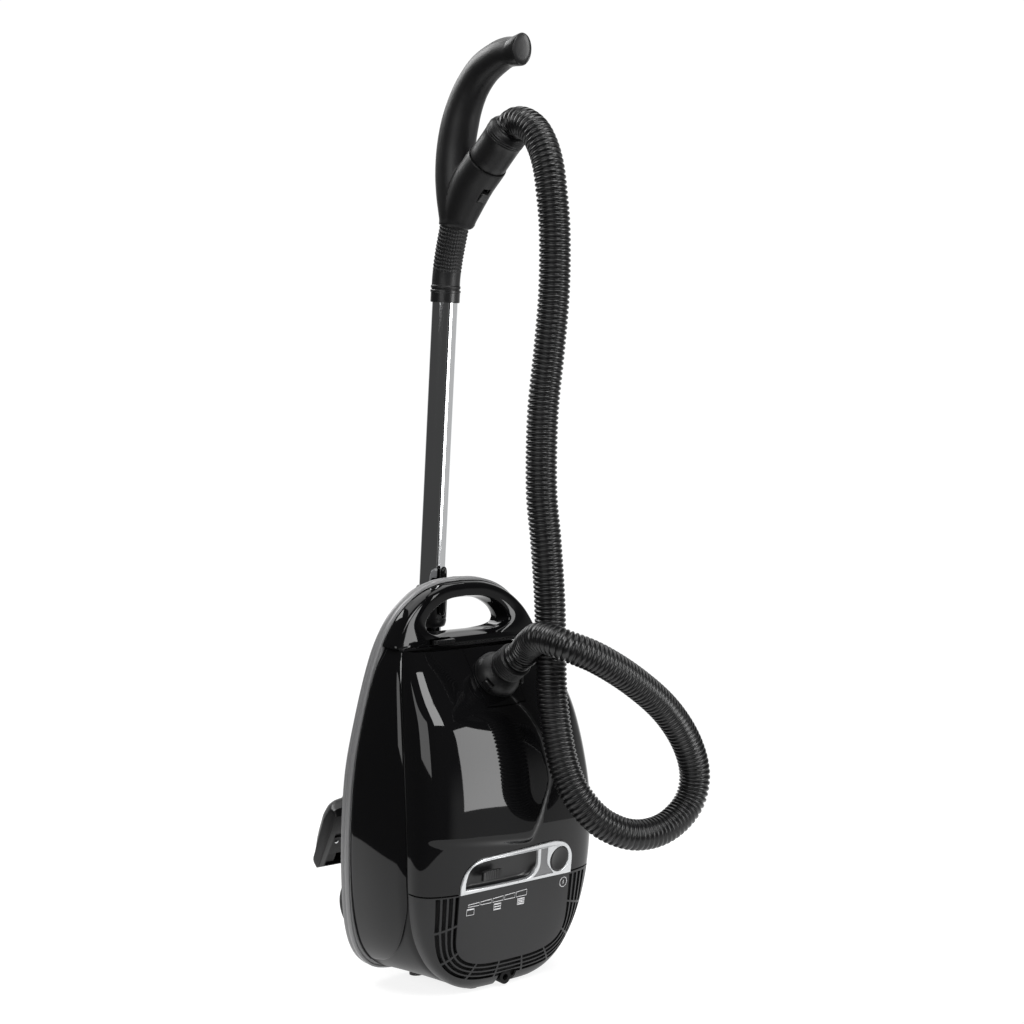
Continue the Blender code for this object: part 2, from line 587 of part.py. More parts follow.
def make_controls():
    """Silver frame above the seam with the slider recess, the bag indicator and the round button."""
    depth = front_depth(0.0, 0.170)
    outline = rounded_corners(FRAME_OUTLINE, 0.005)
    frame = prism("control_frame", outline, depth - 0.0045, depth + 0.013, SILVER_PLASTIC)
    recess = prism("slider_recess", rounded_corners(
        [(-0.0800, 0.1520), (0.0285, 0.1520), (0.0285, 0.1845), (-0.0600, 0.1830)], 0.006),
        depth - 0.02, depth + 0.007)
    cut(frame, recess)
    window = prism("window_recess", rounded_corners(
        [(0.0325, 0.1530), (0.0470, 0.1530), (0.0430, 0.1840), (0.0345, 0.1840)], 0.003),
        depth - 0.02, depth + 0.002)
    cut(frame, window)
    bore = turned("button_bore", [(0.0157, -0.02), (0.0157, 0.0112)], SILVER_PLASTIC, 24,
                  location=(BUTTON_CENTRE[0], depth, BUTTON_CENTRE[1]), rotation=axis_frame((0, 1, 0)))
    cut(frame, bore)
    prism("bag_full_window", rounded_corners(
        [(0.0330, 0.1534), (0.0465, 0.1534), (0.0426, 0.1836), (0.0349, 0.1836)], 0.003),
        depth - 0.0050, depth + 0.0017, CLEAR_SMOKE)
    bevelled_box("power_slider", (0.030, 0.0095, 0.0110), SATIN_BLACK, bevel=0.002,
                 location=(-0.0450, depth + 0.0018, 0.1660))
    turned("on_off_button", [(0.0146, -0.0070), (0.0153, -0.0055), (0.0153, 0.0030)], SATIN_BLACK, 24,
           location=(BUTTON_CENTRE[0], depth, BUTTON_CENTRE[1]), rotation=axis_frame((0, 1, 0)))
    bevelled_box("control_board", (0.110, 0.0020, 0.030), BOARD_GREEN, bevel=0,
                 location=(0, depth + 0.020, 0.169))


def make_lid_release():
    """Button in the carry handle's lower bar that frees the lid, with room to be pressed."""
    centre = Vector((-0.046, HANDLE_FRONT, HANDLE_BAR_BOTTOM + 0.0048))
    bevelled_box("lid_release", (0.0340, 0.0050, 0.0058), SATIN_BLACK, bevel=0.0010, location=centre)
    pocket = bevelled_box("release_pocket", (0.0350, 0.0140, 0.0066), GLOSS_BLACK, bevel=0,
                          location=centre)
    cut(bpy.data.objects["carry_handle"], pocket, "MANIFOLD")


make_lid()
make_inlet_bridge()
make_grille()
make_controls()
make_lid_release()


# ---- hose socket and hose -----------------------------------------------------------------------

def make_hose_socket():
    """Fixed dome on the inlet bridge, its two catches and the turning cuff of the hose."""
    turn = axis_frame(SOCKET_AXIS)
    dome = [(0.0290, 0.0), (0.0300, 0.005), (0.0292, 0.012), (0.0262, 0.0190), (0.0218, 0.0240),
            (0.0185, 0.0245), (0.0185, 0.0)]
    socket = turned("hose_socket", dome, MATTE_BLACK, 28, hollow=True, location=SOCKET, rotation=turn)
    cuff = [(0.0180, 0.0030), (0.0180, 0.0250), (0.0218, 0.0256), (0.0232, 0.0310), (0.0222, 0.0360),
            (0.0226, 0.0420), (0.0205, 0.0470), (0.0150, 0.0470), (0.0150, 0.0030)]
    turned("hose_cuff_body_end", cuff, MATTE_BLACK, 24, hollow=True, location=SOCKET, rotation=turn)
    for side, label in ((-1, "left"), (1, "right")):
        pivot = make_empty(f"catch_axis_{label}", SOCKET, rotation=turn, parent=MACHINE)
        outward = Vector((side * math.cos(CATCH_ANGLE), -math.sin(CATCH_ANGLE), 0.0))
        spin = Matrix.Rotation(math.atan2(outward.y, outward.x), 3, "Z")
        height = Vector((0, 0, 0.0095))
        bevelled_box(f"socket_catch_{label}", (0.0040, 0.0120, 0.0100), SATIN_BLACK, bevel=0.0009,
                     parent=pivot, location=outward * CATCH_REACH + height, rotation=spin)
        cut(socket, bevelled_box(f"catch_pocket_{label}", (0.0090, 0.0128, 0.0108), MATTE_BLACK, bevel=0,
                                 parent=pivot, location=outward * CATCH_REACH + height, rotation=spin))


def make_hose():
    """Plain tube along the free stretch, from the handle cuff to the socket cuff."""
    points = smooth_curve(HOSE_ROUTE[1:-1], 46)
    points = [Vector(HOSE_ROUTE[0])] + points + [Vector(HOSE_ROUTE[-1])]
    curve = bpy.data.curves.new("hose", "CURVE")
    curve.dimensions = "3D"
    curve.bevel_depth = HOSE_RADIUS
    curve.bevel_resolution = 3
    curve.use_fill_caps = True
    line = curve.splines.new("POLY")
    line.points.add(len(points) - 1)
    for spot, point in zip(line.points, points):
        spot.co = (*point, 1.0)
    curve.materials.append(MATTE_BLACK)
    hose = bpy.data.objects.new("hose", curve)
    bpy.context.collection.objects.link(hose)
    hose.parent = STANDING


# ---- wand, handle and nozzle --------------------------------------------------------------------
WAND = make_empty("wand_axis", (0, WAND_DEPTH, 0), parent=MACHINE)
# Handle centre line, from the neck up to the tip of the hook: (Y, Z, radius).
GRIP_LINE = [(0.0375, 0.9435, 0.0205), (0.0362, 0.9500, 0.0216), (0.0368, 0.9620, 0.0230),
             (0.0405, 0.9830, 0.0242), (0.0435, 1.0080, 0.0247), (0.0430, 1.0370, 0.0247),
             (0.0377, 1.0660, 0.0243), (0.0290, 1.0911, 0.0229), (0.0162, 1.1131, 0.0217),
             (-0.0042, 1.1335, 0.0210), (-0.0300, 1.1470, 0.0196), (-0.0465, 1.1522, 0.0184),
             (-0.0590, 1.1528, 0.0176)]


def swept(name, stations, material, count=20, squash=1.0, **placing):
    """Solid along a line in the middle plane; stations are (Y, Z, radius)."""
    loops = []
    for i, (y, z, radius) in enumerate(stations):
        before, after = stations[max(i - 1, 0)], stations[min(i + 1, len(stations) - 1)]
        tangent = Vector((0, after[0] - before[0], after[1] - before[1])).normalized()
        normal = Vector((0, tangent.z, -tangent.y))
        loop = []
        for k in range(count):
            a = 2 * math.pi * k / count
            loop.append(Vector((math.cos(a) * radius * squash, y, z)) + normal * math.sin(a) * radius)
        loops.append(loop)
    return stack_loops(name, loops, material, **placing)


def stations_between(line, count):
    return [tuple(p) for p in smooth_curve([Vector(p) for p in line], count)]


def make_wand_tubes():
    for name, size in (("lower_tube", LOWER_TUBE), ("upper_tube", UPPER_TUBE)):
        tube(name, size["radius"], size["bore"], size["low"], size["high"], CHROME, 28, parent=WAND)
    sleeve = [(0.0190, 0.4360), (0.0205, 0.4400), (0.0205, 0.4780), (0.0192, 0.4860),
              (0.01665, 0.4860), (0.01665, 0.4555), (0.01535, 0.4555), (0.01535, 0.4360)]
    lock = turned("lock_sleeve", sleeve, SATIN_BLACK, 28, hollow=True, parent=WAND)
    groove = bevelled_box("lock_groove", (0.0110, 0.0060, 0.0420), SATIN_BLACK, bevel=0,
                          parent=WAND, location=(0, -0.0208, 0.4680))
    cut(lock, groove)
    pivot = make_empty("lock_axis", (0, 0, 0.4650), parent=WAND)
    stations = [(-0.0227, -0.0130, 0.0022), (-0.0228, -0.0100, 0.0042), (-0.0229, 0.0000, 0.0047),
                (-0.0229, 0.0180, 0.0046), (-0.0229, 0.0380, 0.0040), (-0.0226, 0.0500, 0.0022)]
    swept("lock_slider", stations, SATIN_BLACK, 12, parent=pivot)
    collar = [(0.0180, 0.8480), (0.0185, 0.8500), (0.0185, 0.8600), (0.0192, 0.8605), (0.0192, 0.8635),
              (0.01665, 0.8635), (0.01665, 0.8480)]
    turned("tube_collar", collar, SATIN_BLACK, 28, hollow=True, parent=WAND)


def make_handle():
    neck = [(0.0500, 0.8645, 0.0178), (0.0500, 0.8680, 0.0178), (0.0495, 0.8820, 0.0178),
            (0.0470, 0.9020, 0.0178), (0.0435, 0.9200, 0.0179), (0.0390, 0.9405, 0.0180)]
    swept("bent_neck", neck, MATTE_BLACK, 20)
    stations = stations_between(GRIP_LINE, 22)
    grip = swept("handle_grip", stations, MATTE_BLACK, 20, squash=0.95)
    turn = axis_frame(MOUTH_AXIS)
    mouth = BRANCH_START + MOUTH_AXIS * MOUTH_REACH
    before_mouth = mouth - MOUTH_AXIS * 0.0120
    branch = [(0.0310, 0.9456, 0.0190), (0.0250, 0.9620, 0.0222), (0.0150, 0.9815, 0.0248),
              (0.0030, 0.9995, 0.0262), (before_mouth.y, before_mouth.z, 0.0265), (mouth.y, mouth.z, 0.0265)]
    weld(grip, swept("mouth_branch", branch, MATTE_BLACK, 24))
    cut(grip, turned("mouth_bore", [(0.0240, -0.030), (0.0240, 0.010)], MATTE_BLACK, 24,
                     location=mouth, rotation=turn))
    cuff = [(0.0235, -0.0250), (0.0235, 0.0004), (0.0250, 0.0008), (0.0248, 0.0300), (0.0254, 0.0440),
            (0.0248, 0.0500), (0.0215, 0.0517), (0.0150, 0.0517), (0.0150, -0.0250)]
    turned("hose_cuff_handle_end", cuff, MATTE_BLACK, 24, hollow=True, location=mouth, rotation=turn)
    tip = Vector(stations[-1])
    loops = []
    for reach, rise, tall, wide in ((0.0020, 0.0, 0.0176, 0.0167), (0.0080, 0.0014, 0.0192, 0.0160),
                                    (0.0145, 0.0028, 0.0205, 0.0152)):
        loops.append([Vector((math.cos(a) * wide, tip.x - reach, tip.y + rise + math.sin(a) * tall))
                      for a in (2 * math.pi * k / 24 for k in range(24))])
    stack_loops("grip_end_cap", loops, SATIN_BLACK)
    branch_axis = make_empty("relief_axis", BRANCH_START, turn, MACHINE)
    bevelled_box("relief_slider", (0.0110, 0.0045, 0.0140), SATIN_BLACK, bevel=0.0010,
                 parent=branch_axis, location=(0, -0.0262, 0.0300))
    cut(grip, bevelled_box("relief_groove", (0.0116, 0.0100, 0.0210), MATTE_BLACK, bevel=0,
                           parent=branch_axis, location=(0, -0.0287, 0.0330)))


def make_nozzle():
    """Neck elbow on the lower tube and the floor head that hangs from it, sole towards the body."""
    neck_axis = make_empty("neck_axis", (0, 0, 0.2510), parent=WAND)
    line = [(0.0, 0.2515, 0.0182), (0.0, 0.2440, 0.0185), (0.0040, 0.2330, 0.0170),
            (0.0150, 0.2200, 0.0150), (0.0270, 0.2100, 0.0120)]
    neck = swept("nozzle_neck", [(y, z - 0.2510, r) for y, z, r in line], SATIN_BLACK, 20,
                 parent=neck_axis)
    barrel = turned("neck_barrel", [(0.0125, -0.020), (0.0125, 0.020)], SATIN_BLACK, 20,
                    parent=neck_axis, location=(0, 0.0370, -0.0430), rotation=axis_frame((1, 0, 0)))
    weld(neck, barrel)

    hinge = make_empty("nozzle_hinge", (0, WAND_DEPTH + 0.0370, 0.2080),
                       Matrix.Rotation(NOZZLE_TILT, 3, "X"), MACHINE)
    make_head(hinge)


def make_head(hinge):
    stations = [(-1.0, 0.0), (-0.955, 0.30), (-0.85, 0.62), (-0.70, 0.72), (-0.64, 1.0),
                (0.64, 1.0), (0.70, 0.72), (0.85, 0.62), (0.955, 0.30), (1.0, 0.0)]
    loops = []
    for share, swell in stations:
        loops.append([Vector((share * HEAD_HALF_WIDTH, y0 + (y1 - y0) * swell, z0 + (z1 - z0) * swell))
                      for (y0, z0), (y1, z1) in zip(HEAD_END, HEAD_MIDDLE)])
    head = stack_loops("nozzle_head", loops, SATIN_BLACK, parent=hinge)
    saddle = bevelled_box("neck_saddle", (0.0420, 0.0600, 0.0330), SATIN_BLACK, bevel=0,
                          parent=hinge, location=(0, 0.0040, 0.0010))
    cut(head, saddle)
    for side in (-1, 1):
        lug = turned(f"hinge_lug_{side}", [(0.0110, -0.006), (0.0110, 0.006)], SATIN_BLACK, 16,
                     parent=hinge, location=(side * 0.0270, 0, -0.0040), rotation=axis_frame((1, 0, 0)))
        weld(head, lug)
    sole_recess = bevelled_box("sole_recess", (0.2400, 0.0100, 0.0510), SATIN_BLACK, bevel=0,
                               parent=hinge, location=(0, SOLE_DEPTH - 0.0020, -0.0520))
    cut(head, sole_recess)
    mouth = bevelled_box("suction_mouth", (0.2100, 0.0240, 0.0130), SATIN_BLACK, bevel=0,
                         parent=hinge, location=(0, SOLE_DEPTH + 0.0040, -0.0690))
    cut(head, mouth)
    bevelled_box("sole_plate", (0.2390, 0.0016, 0.0270), SATIN_BLACK, bevel=0,
                 parent=hinge, location=(0, SOLE_DEPTH + 0.0021, -0.0470))
    brush_bed = bevelled_box("brush_bed", (0.2160, 0.0140, 0.0046), SATIN_BLACK, bevel=0,
                             parent=hinge, location=(0, SOLE_DEPTH + 0.0030, -0.0300))
    cut(head, brush_bed)
    bevelled_box("brush_strip", (0.2140, 0.0080, 0.0038), MATTE_BLACK, bevel=0,
                 parent=hinge, location=(0, SOLE_DEPTH + 0.0058, -0.0300))
    pedal_axis = make_empty("pedal_axis", (0, 0.0195, -0.0220), parent=hinge)
    bevelled_box("brush_pedal", (0.0560, 0.0040, 0.0180), SATIN_BLACK, bevel=0.001,
                 parent=pedal_axis, location=(0, 0.0060, -0.0100))


def make_park_parts():
    """Hook on the neck collar and the slotted bracket on the underside that it hangs in."""
    bevelled_box("park_hook", (0.0120, 0.0050, 0.0400), SATIN_BLACK, bevel=0.0008,
                 parent=WAND, location=(0, -0.0178, 0.2900))
    band = tube("park_clip", 0.0178, 0.0153, 0.2740, 0.3060, SATIN_BLACK, 24, parent=WAND)
    weld(band, bpy.data.objects["park_hook"])
    bracket = bevelled_box("park_bracket", (0.0360, 0.0052, 0.0260), SATIN_BLACK, bevel=0.0008,
                           location=(0, BASE_BACK + 0.0029, 0.2860))
    groove = bevelled_box("bracket_groove", (0.0140, 0.02, 0.05), SATIN_BLACK, bevel=0,
                          location=(0, BASE_BACK + 0.0129, 0.2860))
    cut(bracket, groove)


# ---- wheels and feet ----------------------------------------------------------------------------
def make_wheels():
    side_turn = axis_frame((1, 0, 0))
    for side, label in ((-1, "left"), (1, "right")):
        r, half, bore = WHEEL["radius"], WHEEL["width"] / 2, WHEEL["bore"]
        profile = [(r - 0.002, -half), (r, -half + 0.002), (r, half - 0.002), (r - 0.002, half),
                   (0.010, half), (bore, half), (bore, -half), (0.010, -half)]
        centre = (side * WHEEL["across"], WHEEL["depth"], WHEEL["height"])
        turned(f"rear_wheel_{label}", profile, RUBBER, 28, hollow=True, location=centre,
               rotation=side_turn)
        axle = (side * (WHEEL["across"] - 0.0010), WHEEL["depth"], WHEEL["height"])
        turned(f"wheel_axle_{label}", [(0.0042, -half - 0.0065), (0.0042, half + 0.0020)], STEEL, 14,
               location=axle, rotation=side_turn)
    fork_turn = axis_frame((0, 1, 0))
    pivot = make_empty("castor_axis", (0, 0.0040, CASTOR["height"]), fork_turn, MACHINE)
    fork = turned("castor_fork", [(0.0200, 0.0), (0.0200, 0.0045)], SATIN_BLACK, 24, parent=pivot)
    for side in (-1, 1):
        weld(fork, bevelled_box(f"fork_cheek_{side}", (0.0030, 0.0180, 0.0150), SATIN_BLACK, bevel=0,
                                parent=pivot, location=(side * 0.0090, 0, 0.0105)))
    tread = [(0.0095, -0.0065), (0.0100, -0.0055), (0.0100, 0.0055), (0.0095, 0.0065),
             (0.0022, 0.0065), (0.0022, -0.0065)]
    roller = make_empty("castor_roll_axis", (0, 0, 0.0155), parent=pivot)
    turned("castor_wheel", tread, RUBBER, 20, hollow=True, parent=roller, rotation=side_turn)
    weld(fork, turned("castor_pin", [(0.0019, -0.0090), (0.0019, 0.0090)], STEEL, 12, parent=roller,
                      rotation=side_turn))


def floor_height(y, z):
    """World height of a machine-frame point."""
    return y * math.sin(LEAN) + z * math.cos(LEAN)


def make_feet():
    """Rubber pads under the rear end; each fills the wedge between the sloping end wall and the floor."""
    for label, x, depth in (("front_left", -0.032, -0.1025), ("front_right", 0.032, -0.1025),
                            ("rear_left", -0.050, -0.0165), ("rear_right", 0.050, -0.0165)):
        top_z = CREASE[0][2] + (depth - CREASE[0][1]) * END_WALL_SLOPE - 1.5 * GAP
        sole, top = [], []
        for offset_x, offset_y, _ in circle(FOOT_RADIUS, 0.0, 14):
            local = Vector((x + offset_x, depth + offset_y, top_z + offset_y * END_WALL_SLOPE))
            world_y = local.y * math.cos(LEAN) - local.z * math.sin(LEAN)
            top.append(Vector((local.x, world_y, floor_height(local.y, local.z))))
            sole.append(Vector((local.x, world_y, 0.0)))
        stack_loops(f"foot_{label}", [sole, top], RUBBER, parent=STANDING)


# ---- inside the body ----------------------------------------------------------------------------
def make_inside():
    bevelled_box("bulkhead", (0.2680, 0.0900, 0.0030), SATIN_BLACK, bevel=0,
                 location=(0, -0.0520, 0.1420))
    motor = Vector((-0.0500, -0.0560, 0.0))
    turned("motor_housing", [(0.0320, 0.0380), (0.0410, 0.0420), (0.0410, 0.0860), (0.0340, 0.0900)],
           COIL_GREY, 24, location=motor)
    cover = [(0.0460, 0.0905), (0.0480, 0.0925), (0.0480, 0.1260), (0.0460, 0.1280), (0.0150, 0.1280),
             (0.0150, 0.1255), (0.0455, 0.1255), (0.0455, 0.0905)]
    turned("fan_cover", cover, STEEL, 24, hollow=True, location=motor)
    turned("fan_impeller", [(0.0420, 0.0945), (0.0420, 0.1180), (0.0300, 0.1220)], COIL_GREY, 24,
           location=motor)
    tube("motor_seal", 0.0400, 0.0180, 0.1285, 0.1400, RUBBER, 24, location=motor)
    spool = [(0.0520, -0.0230), (0.0520, -0.0200), (0.0300, -0.0200), (0.0300, 0.0200),
             (0.0520, 0.0200), (0.0520, 0.0230), (0.0085, 0.0230), (0.0085, -0.0230)]
    reel_turn = axis_frame((0, 1, 0))
    reel = Vector((0.0560, -0.0600, 0.0760))
    turned("cord_reel", spool, SATIN_BLACK, 28, hollow=True, location=reel, rotation=reel_turn)
    turned("reel_axle", [(0.0080, -0.0260), (0.0080, 0.0260)], STEEL, 16, location=reel,
           rotation=reel_turn)
    bevelled_box("exhaust_filter", (0.1500, 0.0120, 0.0600), FILTER_WHITE, bevel=0,
                 location=(0, -0.1180, 0.0900))
    bevelled_box("motor_filter", (0.1100, 0.0700, 0.0080), FILTER_WHITE, bevel=0,
                 location=(-0.0400, -0.0580, 0.1480))
    blunt_square = [(-1, -0.8), (-0.8, -1), (0.8, -1), (1, -0.8), (1, 0.8), (0.8, 1), (-0.8, 1), (-1, 0.8)]
    bag = []
    for z, wide, deep in ((0.1580, 0.085, 0.030), (0.1750, 0.104, 0.036), (0.2500, 0.106, 0.040),
                          (0.3200, 0.094, 0.030), (0.3450, 0.070, 0.020)):
        bag.append([Vector((sx * wide, -0.052 + sy * deep, z)) for sx, sy in blunt_square])
    stack_loops("dust_bag", bag, BAG_PAPER)
    bevelled_box("bag_holder", (0.0900, 0.0560, 0.0030), SILVER_PLASTIC, bevel=0,
                 location=(0, -0.0500, 0.3480))
    tube("inlet_seal", 0.0220, 0.0160, 0.0, 0.0080, RUBBER, 24,
         location=SOCKET - SOCKET_AXIS * 0.0165, rotation=axis_frame(SOCKET_AXIS))
    tube("cord_outlet", 0.0088, 0.0042, 0.0, 0.0160, MATTE_BLACK, 20,
         location=(0, -0.1150, 0.0226), rotation=axis_frame((0, -1, 0)))


make_handle()
make_hose_socket()
make_wand_tubes()
make_hose()
make_nozzle()
make_park_parts()
make_wheels()
make_feet()
make_inside()
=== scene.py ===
"""Looks of a canister vacuum cleaner parked upright, with its wand, floor head and looped hose.

Pieces are shaped in the cleaner's own machine frame (X across, Y away from the lid, Z along the
wand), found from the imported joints, and carried into world space as they are made.
"""
import json
from math import acos, atan2, copysign, cos, exp, pi, radians, sin, sqrt, tan

import bmesh
import bpy
from mathutils import Matrix, Vector, noise

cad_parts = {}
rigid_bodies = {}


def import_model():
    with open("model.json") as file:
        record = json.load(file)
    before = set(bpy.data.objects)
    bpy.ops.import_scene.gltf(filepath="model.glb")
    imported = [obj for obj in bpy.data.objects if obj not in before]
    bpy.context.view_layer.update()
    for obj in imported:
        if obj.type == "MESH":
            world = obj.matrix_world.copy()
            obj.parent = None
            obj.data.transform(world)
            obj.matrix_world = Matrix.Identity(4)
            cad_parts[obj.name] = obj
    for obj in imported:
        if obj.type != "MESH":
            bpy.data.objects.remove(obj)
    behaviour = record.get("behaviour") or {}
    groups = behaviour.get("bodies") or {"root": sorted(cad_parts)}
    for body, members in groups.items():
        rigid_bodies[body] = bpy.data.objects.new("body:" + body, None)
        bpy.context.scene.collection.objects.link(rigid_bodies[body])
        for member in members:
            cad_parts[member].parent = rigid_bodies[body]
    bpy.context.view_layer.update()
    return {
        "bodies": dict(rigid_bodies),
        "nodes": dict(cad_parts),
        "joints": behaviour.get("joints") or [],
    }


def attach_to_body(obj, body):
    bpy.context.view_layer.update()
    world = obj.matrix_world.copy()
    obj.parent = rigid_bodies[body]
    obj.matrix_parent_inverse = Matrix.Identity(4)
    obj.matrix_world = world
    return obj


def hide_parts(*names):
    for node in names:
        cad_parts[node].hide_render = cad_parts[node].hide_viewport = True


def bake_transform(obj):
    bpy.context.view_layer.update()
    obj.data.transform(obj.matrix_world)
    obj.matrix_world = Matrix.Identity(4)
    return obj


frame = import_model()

X_AXIS = Vector((1, 0, 0))


def mm(*rows):
    """Rows of a table, from millimetres to metres."""
    return [tuple(v / 1000 for v in row) for row in rows]


# ---- frame of the leaning machine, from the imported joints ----
JOINTS = {joint["name"]: joint for joint in frame["joints"]}
UP = Vector(JOINTS["wand_telescope"]["axis"]).normalized()
BACK = UP.cross(X_AXIS).normalized()
ROTATION = Matrix((X_AXIS, BACK, UP)).transposed()
WHEEL_HUB = Vector((0.1215, 0.0115, 0.098))
ORIGIN = Vector(JOINTS["rear_wheel_right_spin"]["pos_m"]) - ROTATION @ WHEEL_HUB
MACHINE = Matrix.Translation(ORIGIN) @ ROTATION.to_4x4()
WORLD = Matrix.Translation((0, ORIGIN.y, 0))

# ---- camera, floor and soft boxes ----
CAMERA_PLACE = (-1.5934, ORIGIN.y - 1.9781, 0.7583)
CAMERA_LENS, SENSOR_WIDTH = 70.3, 36.0
CAMERA_DIP, CAMERA_TURN = radians(3.92), radians(-41)
FLOOR_CENTRE, FLOOR_RADIUS, FLOOR_GLOW = (0.1, 0.2, 0.0), 0.85, 0.84
SOFT_BOXES = [  # name, place, target, size and power
    ("front_box", (0.86, -2.04, 0.74), (0, -0.1, 0.36), (0.72, 1.4), 27),
    ("upper_box", (-0.35, -1.95, 2.25), (0, -0.1, 0.4), (1.0, 0.9), 34),
    ("left_box", (-2.36, -1.05, 1.42), (0, 0, 0.6), (1.7, 1.4), 28),
    ("back_box", (-0.54, 2.00, 2.27), (0, 0, 0.5), (1.6, 1.0), 40),
    ("top_box", (0.3, 0.7, 3.4), (0, 0, 0.3), (3.0, 3.0), 70),
]

# ---- driving dimensions, in metres ----
RIM_FRONT, RIM_BACK, RIM_DEPTH = -0.006, 0.008, 0.01
BASE_BACK = 0.0255
SEAM_HEIGHT = 0.146
LID_TOP = 0.427
GRILLE_LOW = 0.0125
WALL = 0.0026
CASTOR = Vector((0, 0.004, 0.385))
REEL_CENTRE = Vector((0.056, -0.06, 0.076))
KEEPER_HEIGHT = 0.286
INLET_LOW, INLET_HALF_WIDTH = 0.364, 0.0325
GAP = 0.0003
HANDLE_BAR_BOTTOM = 0.4285
HANDLE_FRONT, HANDLE_SLOPE = -0.031, 0.16
OPENING_HALF_WIDTH, OPENING_LOW, OPENING_HIGH = 0.063, 0.4385, 0.481
WAND_DEPTH = 0.05
HOSE_RADIUS = 0.019
HOSE_PITCH = 0.006
SOCKET = Vector((0.0, -0.0832, 0.3945))
SOCKET_UP = radians(38)
BRANCH_START = Vector((0.0, 0.0267, 0.9764))
MOUTH_UP = radians(45)
MOUTH_REACH = 0.0665

OUTER_OUTLINE = mm((0, 12), (45, 12), (86, 13), (115, 22), (137.5, 46), (150.5, 85), (157.5, 145),
    (160, 210), (158, 275), (148, 335), (133.5, 397), (119, 437), (98.5, 468), (70, 491), (37, 503),
    (0, 506))
CREASE = mm((0, -112, 11.5), (30, -112, 11.5), (58, -111, 16), (87, -108, 31), (111, -105, 56),
    (130, -104, 95), (140, -105, 150), (140.5, -99, 215), (136.5, -85, 285), (129, -67, 350),
    (117, -45, 405), (108, -33, 427.5))
HOUSING_EDGE = mm((0, 12.5), (40, 12.5), (79, 14.5), (107, 25), (130, 50), (144, 90), (152, 148),
    (154.5, 212), (152, 278), (142.5, 338), (128, 396), (114, 427.5))
CENTRE_LINE = mm((11.5, -115), (16, -126), (31, -135), (56, -139.5), (95, -142), (150, -144),
    (215, -148), (250, -145.5), (285, -138), (320, -127), (350, -114), (380, -93), (405, -74),
    (427.5, -56))
HOSE_ROUTE = mm((0, -140.1, 1052.5), (0, -147, 1058.4), (0, -156.5, 1060.4), (0, -171, 1056.8),
    (0, -186.5, 1047), (0, -199.5, 1030), (0, -209.5, 1007), (1, -214.5, 978), (6, -215, 929),
    (8, -212, 859), (5, -207, 790), (-1, -202, 710), (-1, -200, 622), (6, -200, 560), (14, -198, 490),
    (17, -197, 430), (17, -199, 376), (18, -207, 326), (21, -220, 280), (30, -237, 246),
    (52, -253, 218), (87, -269, 202), (130, -278, 205), (166, -283, 229), (177, -285, 266),
    (162, -285, 309), (126, -284, 353), (76, -280, 392), (25, -272, 423), (-10, -254, 440),
    (-18, -221, 447), (-8, -190, 437), (0, -166.8, 421.7), (0, -153.4, 412.9))
GRIP_LINE = mm((37.5, 943.5, 20.5), (36.2, 950, 21.6), (36.8, 962, 23), (40.5, 983, 24.2),
    (43.5, 1008, 24.7), (43, 1037, 24.7), (37.7, 1066, 24.3), (29, 1091.1, 22.9), (16.2, 1113.1, 21.7),
    (-4.2, 1133.5, 21), (-30, 1147, 19.6), (-46.5, 1152.2, 18.4), (-59, 1152.8, 17.6))

scene = bpy.context.scene
FRAME_OBJECTS = set(frame["bodies"].values()) | set(frame["nodes"].values())
for stray in list(bpy.data.objects):
    if stray.name in ("Cube", "Camera", "Light") and stray not in FRAME_OBJECTS:
        bpy.data.objects.remove(stray)


# ---- camera ----
def make_camera():
    data = bpy.data.cameras.new("photo_camera")
    data.lens, data.sensor_width = CAMERA_LENS, SENSOR_WIDTH
    camera = bpy.data.objects.new("photo_camera", data)
    scene.collection.objects.link(camera)
    camera.location = CAMERA_PLACE
    camera.rotation_euler = (pi / 2 - CAMERA_DIP, 0, CAMERA_TURN)
    scene.camera = camera


make_camera()


# ---- curves and outlines ----
def resample(dense, count):
    lengths = [0.0]
    for a, b in zip(dense, dense[1:]):
        lengths.append(lengths[-1] + (b - a).length)
    samples, k = [], 0
    for i in range(count):
        goal = lengths[-1] * i / (count - 1)
        while k < len(lengths) - 2 and lengths[k + 1] < goal:
            k += 1
        share = (goal - lengths[k]) / max(lengths[k + 1] - lengths[k], 1e-9)
        samples.append(dense[k].lerp(dense[k + 1], min(max(share, 0.0), 1.0)))
    return samples


def smooth_curve(points, count):
    """Even samples on a Catmull-Rom curve through the points."""
    points = [Vector(p) for p in points]
    ends = [2 * points[0] - points[1]] + points + [2 * points[-1] - points[-2]]
    dense = []
    for p0, p1, p2, p3 in zip(ends, ends[1:], ends[2:], ends[3:]):
        for k in range(24):
            t = k / 24
            dense.append(0.5 * (2 * p1 + (p2 - p0) * t + (2 * p0 - 5 * p1 + 4 * p2 - p3) * t * t
                + (3 * p1 - p0 - 3 * p2 + p3) * t ** 3))
    dense.append(points[-1])
    return resample(dense, count)


def value_at(table, x):
    """Smooth value between the rows of a table of (x, value), with flat ends."""
    if x <= table[0][0]:
        return table[0][1]
    if x >= table[-1][0]:
        return table[-1][1]
    i = max(k for k in range(len(table) - 1) if table[k][0] <= x)
    (x0, y0), (x1, y1) = table[i], table[i + 1]
    before, after = table[max(i - 1, 0)], table[min(i + 2, len(table) - 1)]
    m0 = (y1 - before[1]) / (x1 - before[0])
    m1 = (after[1] - y0) / (after[0] - x0)
    h = x1 - x0
    t = (x - x0) / h
    first = (2 * t ** 3 - 3 * t * t + 1) * y0 + (t ** 3 - 2 * t * t + t) * h * m0
    return first + (3 * t * t - 2 * t ** 3) * y1 + (t ** 3 - t * t) * h * m1


